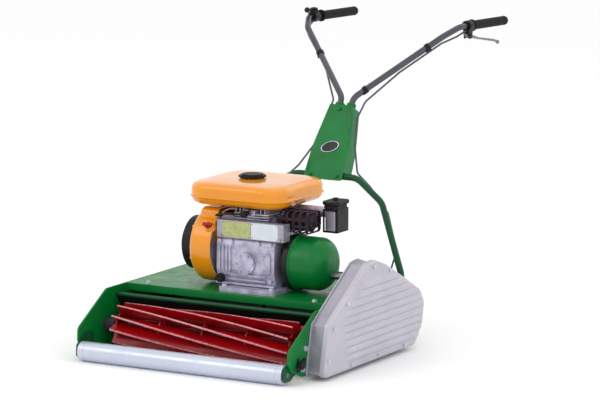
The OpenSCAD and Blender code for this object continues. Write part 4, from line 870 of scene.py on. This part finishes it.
# Routes chosen from each lever's bracket down the bar and the column
THROTTLE = [(-262, 1223, 879), (-258, 1196, 870), (-236, 1146, 846.4), (-130, 1070, 758), (-56, 988, 672),
            (-52, 944, 626), (-70, 898, 546), (-72, 800, 492), (-62, 660, 456), (-40, 610, 418),
            (-12, 560, 404), (4, 520, 405)]
CLUTCH = [(268, 1246, 877), (262, 1200, 864), (236, 1146, 846.4), (130, 1070, 758), (56, 988, 672),
          (52, 944, 626), (70, 898, 546), (96, 866, 470), (150, 850, 434), (232, 812, 366), (286, 768, 262),
          (298, 700, 202), (312, 640, 197), (334, 560, 208), (338, 470, 236), (338, 427, 254)]


def cable(name, route):
    """A control cable along its route, fixed at both ends. Gives its length in metres."""
    pts = [at(p) for p in bent_line(route, 24, 8)]
    data = bpy.data.curves.new(name, "CURVE")
    data.dimensions = "3D"
    data.bevel_depth = 0.003
    data.bevel_resolution = 6
    data.use_fill_caps = True
    spline = data.splines.new("POLY")
    spline.points.add(len(pts) - 1)
    for q, p in zip(spline.points, pts):
        q.co = (*p, 1)
    data.materials.append(MATS["cable_sheath"])
    o = link(bpy.data.objects.new(name, data))
    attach(o, "chassis")
    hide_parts("control_cables")
    length = sum((b - a).length for a, b in zip(pts, pts[1:]))
    return length


cable_lengths = {"throttle": cable("throttle_cable", THROTTLE),
                 "clutch": cable("clutch_cable", CLUTCH)}


# ---------------------------------------------------------------- spark plug, silencer, plates, badge

plug = Shape()
plug.mat = 1
plug.lathe((25, 348, 420), (0, -1, 0), [(0, 0), (6.7, 0), (6.7, 12), (0, 12)], 28)
plug.lathe((25, 334, 420), (0, -1, 0), [(10.6, 0), (11, 0.6), (11, 6.2), (10.2, 7), (0, 7)], 6, 0.5)
plug.mat = 0
plug.lathe((25, 329, 420), (0, -1, 0), [
    (6.2, 0), (7.2, 1.2), (7.8, 5), (7.8, 13), (9.4, 15), (10.8, 17), (11.2, 21), (11, 27), (10, 31),
    (8, 33.4), (0, 34)], 32)
lead = bent_line([(25, 300, 420), (-30, 298, 418), (-76, 310, 408), (-77, 352, 402)], 16)
plug.rod(dense(lead, 6), 3.5, 16, 0.6)
plug.make("plug_boot_and_lead", [MATS["black_plastic"], MATS["steel"]], replaces=["spark_plug"])


def block(shape, lo, hi):
    """A bevelled box between two corners."""
    shape.slab([(lo[0], lo[1]), (hi[0], lo[1]), (hi[0], hi[1]), (lo[0], hi[1])],
               lambda u, v, w: (u, v, lo[2] + w), hi[2] - lo[2], 0.8)


# Dark clamp frame round the air cleaner: side, base and the edges of its front
clamp = Shape()
for lo, hi in (((256.2, 448, 361), (259.6, 516, 431)), ((212, 448, 360.6), (259.6, 516, 363.8)),
               ((211.6, 446.6, 361), (216.5, 449.8, 430.6)), ((253.5, 446.6, 361), (259.6, 449.8, 430.6)),
               ((211.6, 446.6, 361), (259.6, 449.8, 366)), ((211.6, 446.6, 425), (259.6, 449.8, 430.6))):
    block(clamp, lo, hi)
clamp.make("air_cleaner_frame", MATS["black_plastic"])

# Clips that hold the cables to the bars
clips = Shape()
for side, y in ((1, 1120), (1, 1000), (-1, 1085)):
    p, q = bar_path(side)[1], bar_path(side)[2]
    c = p + (q - p) * ((y - p.y) / (q.y - p.y))
    clips.lathe(c, q - p, [(9.55, -7), (11.4, -7), (12.2, -6.2), (12.2, 6.2), (11.4, 7), (9.55, 7)], 32)
    clips.bolt(c + Vector((0, -0.6, -0.8)).normalized() * 12, (0, -0.6, -0.8), 5)
clips.make("cable_clips", MATS["black_plastic"])

silencer = Shape()
silencer.lathe((0, 398, 398), (1, 0, 0), [
    (0, 110.6), (12, 110.8), (19, 111.4), (22.4, 113), (23.6, 115), (24, 117.6), (27, 118), (29.2, 118.6),
    (29.6, 120), (29.2, 121.4), (28, 122), (27.6, 130), (28, 158), (28.4, 159.4), (28.9, 161),
    (28.4, 162.6), (28, 164), (27.6, 192), (28, 200), (29.2, 200.6), (29.6, 202), (29.2, 203.4), (27, 204),
    (24, 204.4), (23.6, 207), (22.4, 209), (19, 210.6), (0, 211.2)], 64)
silencer.lathe((0, 398, 390), (1, 0, 0), [(8, 92.5), (10.4, 92.5), (11, 93.2), (11, 114)], 32)
silencer.lathe((0, 398, 390), (1, 0, 0), [(7, 208), (7, 223), (6.6, 224), (5.4, 224), (5, 223),
                                          (5, 205)], 32)
silencer.make("silencer", MATS["muffler_black"], replaces=["muffler"])


def plate(name, mat, x0, x1, z0, z1, y):
    """A thin plate on the face at y, with a rivet in each corner."""
    p = Shape()
    rings = []
    for proud, inset in ((0, 0), (0.5, 0), (0.7, 0.25), (0.7, 1.6), (0.45, 2.2)):
        rim = rounded_rect((x0 + x1) / 2, (z0 + z1) / 2, (x1 - x0) / 2 - inset, (z1 - z0) / 2 - inset, 3)
        rings.append([(px, y - proud, pz) for px, pz in rim])
    p.rings(rings)
    p.mat = 1
    for x in (x0 + 4, x1 - 4):
        for z in (z0 + 4, z1 - 4):
            p.lathe((x, y - 0.5, z), (0, -1, 0), [(1.7, 0), (1.6, 0.5), (1.1, 0.9), (0, 1.1)], 16)
    p.make(name, [mat, MATS["steel"]])


plate("data_plate_left", PLATE_GREEN, -53, 41, 346, 394, 315)
plate("data_plate_right", PLATE_WHITE, 45, 135, 346, 394, 315)

BADGE_Z, BADGE_TILT = 92.0, radians(18)     # its middle up the column, and its turn


def badge_ring(k, proud):
    """An oval k times the badge's own size, standing proud of the column."""
    ring = []
    for i in range(48):
        u, v = 31 * k * cos(2 * pi * i / 48), 17 * k * sin(2 * pi * i / 48)
        ring.append(column_pt(u * cos(BADGE_TILT) - v * sin(BADGE_TILT), -proud,
                              BADGE_Z + u * sin(BADGE_TILT) + v * cos(BADGE_TILT)))
    return ring


badge = Shape()
badge.rings([badge_ring(*q) for q in ((1.0, 0.0), (1.0, 1.6), (0.98, 2.2), (0.90, 2.2))], cap1=False)
badge.mat = 1
badge.rings([badge_ring(*q) for q in ((0.90, 2.2), (0.88, 1.7), (0.5, 2.0), (0.1, 2.1))], cap0=False)
badge.make("column_badge", [MATS["zinc"], BADGE_DARK])
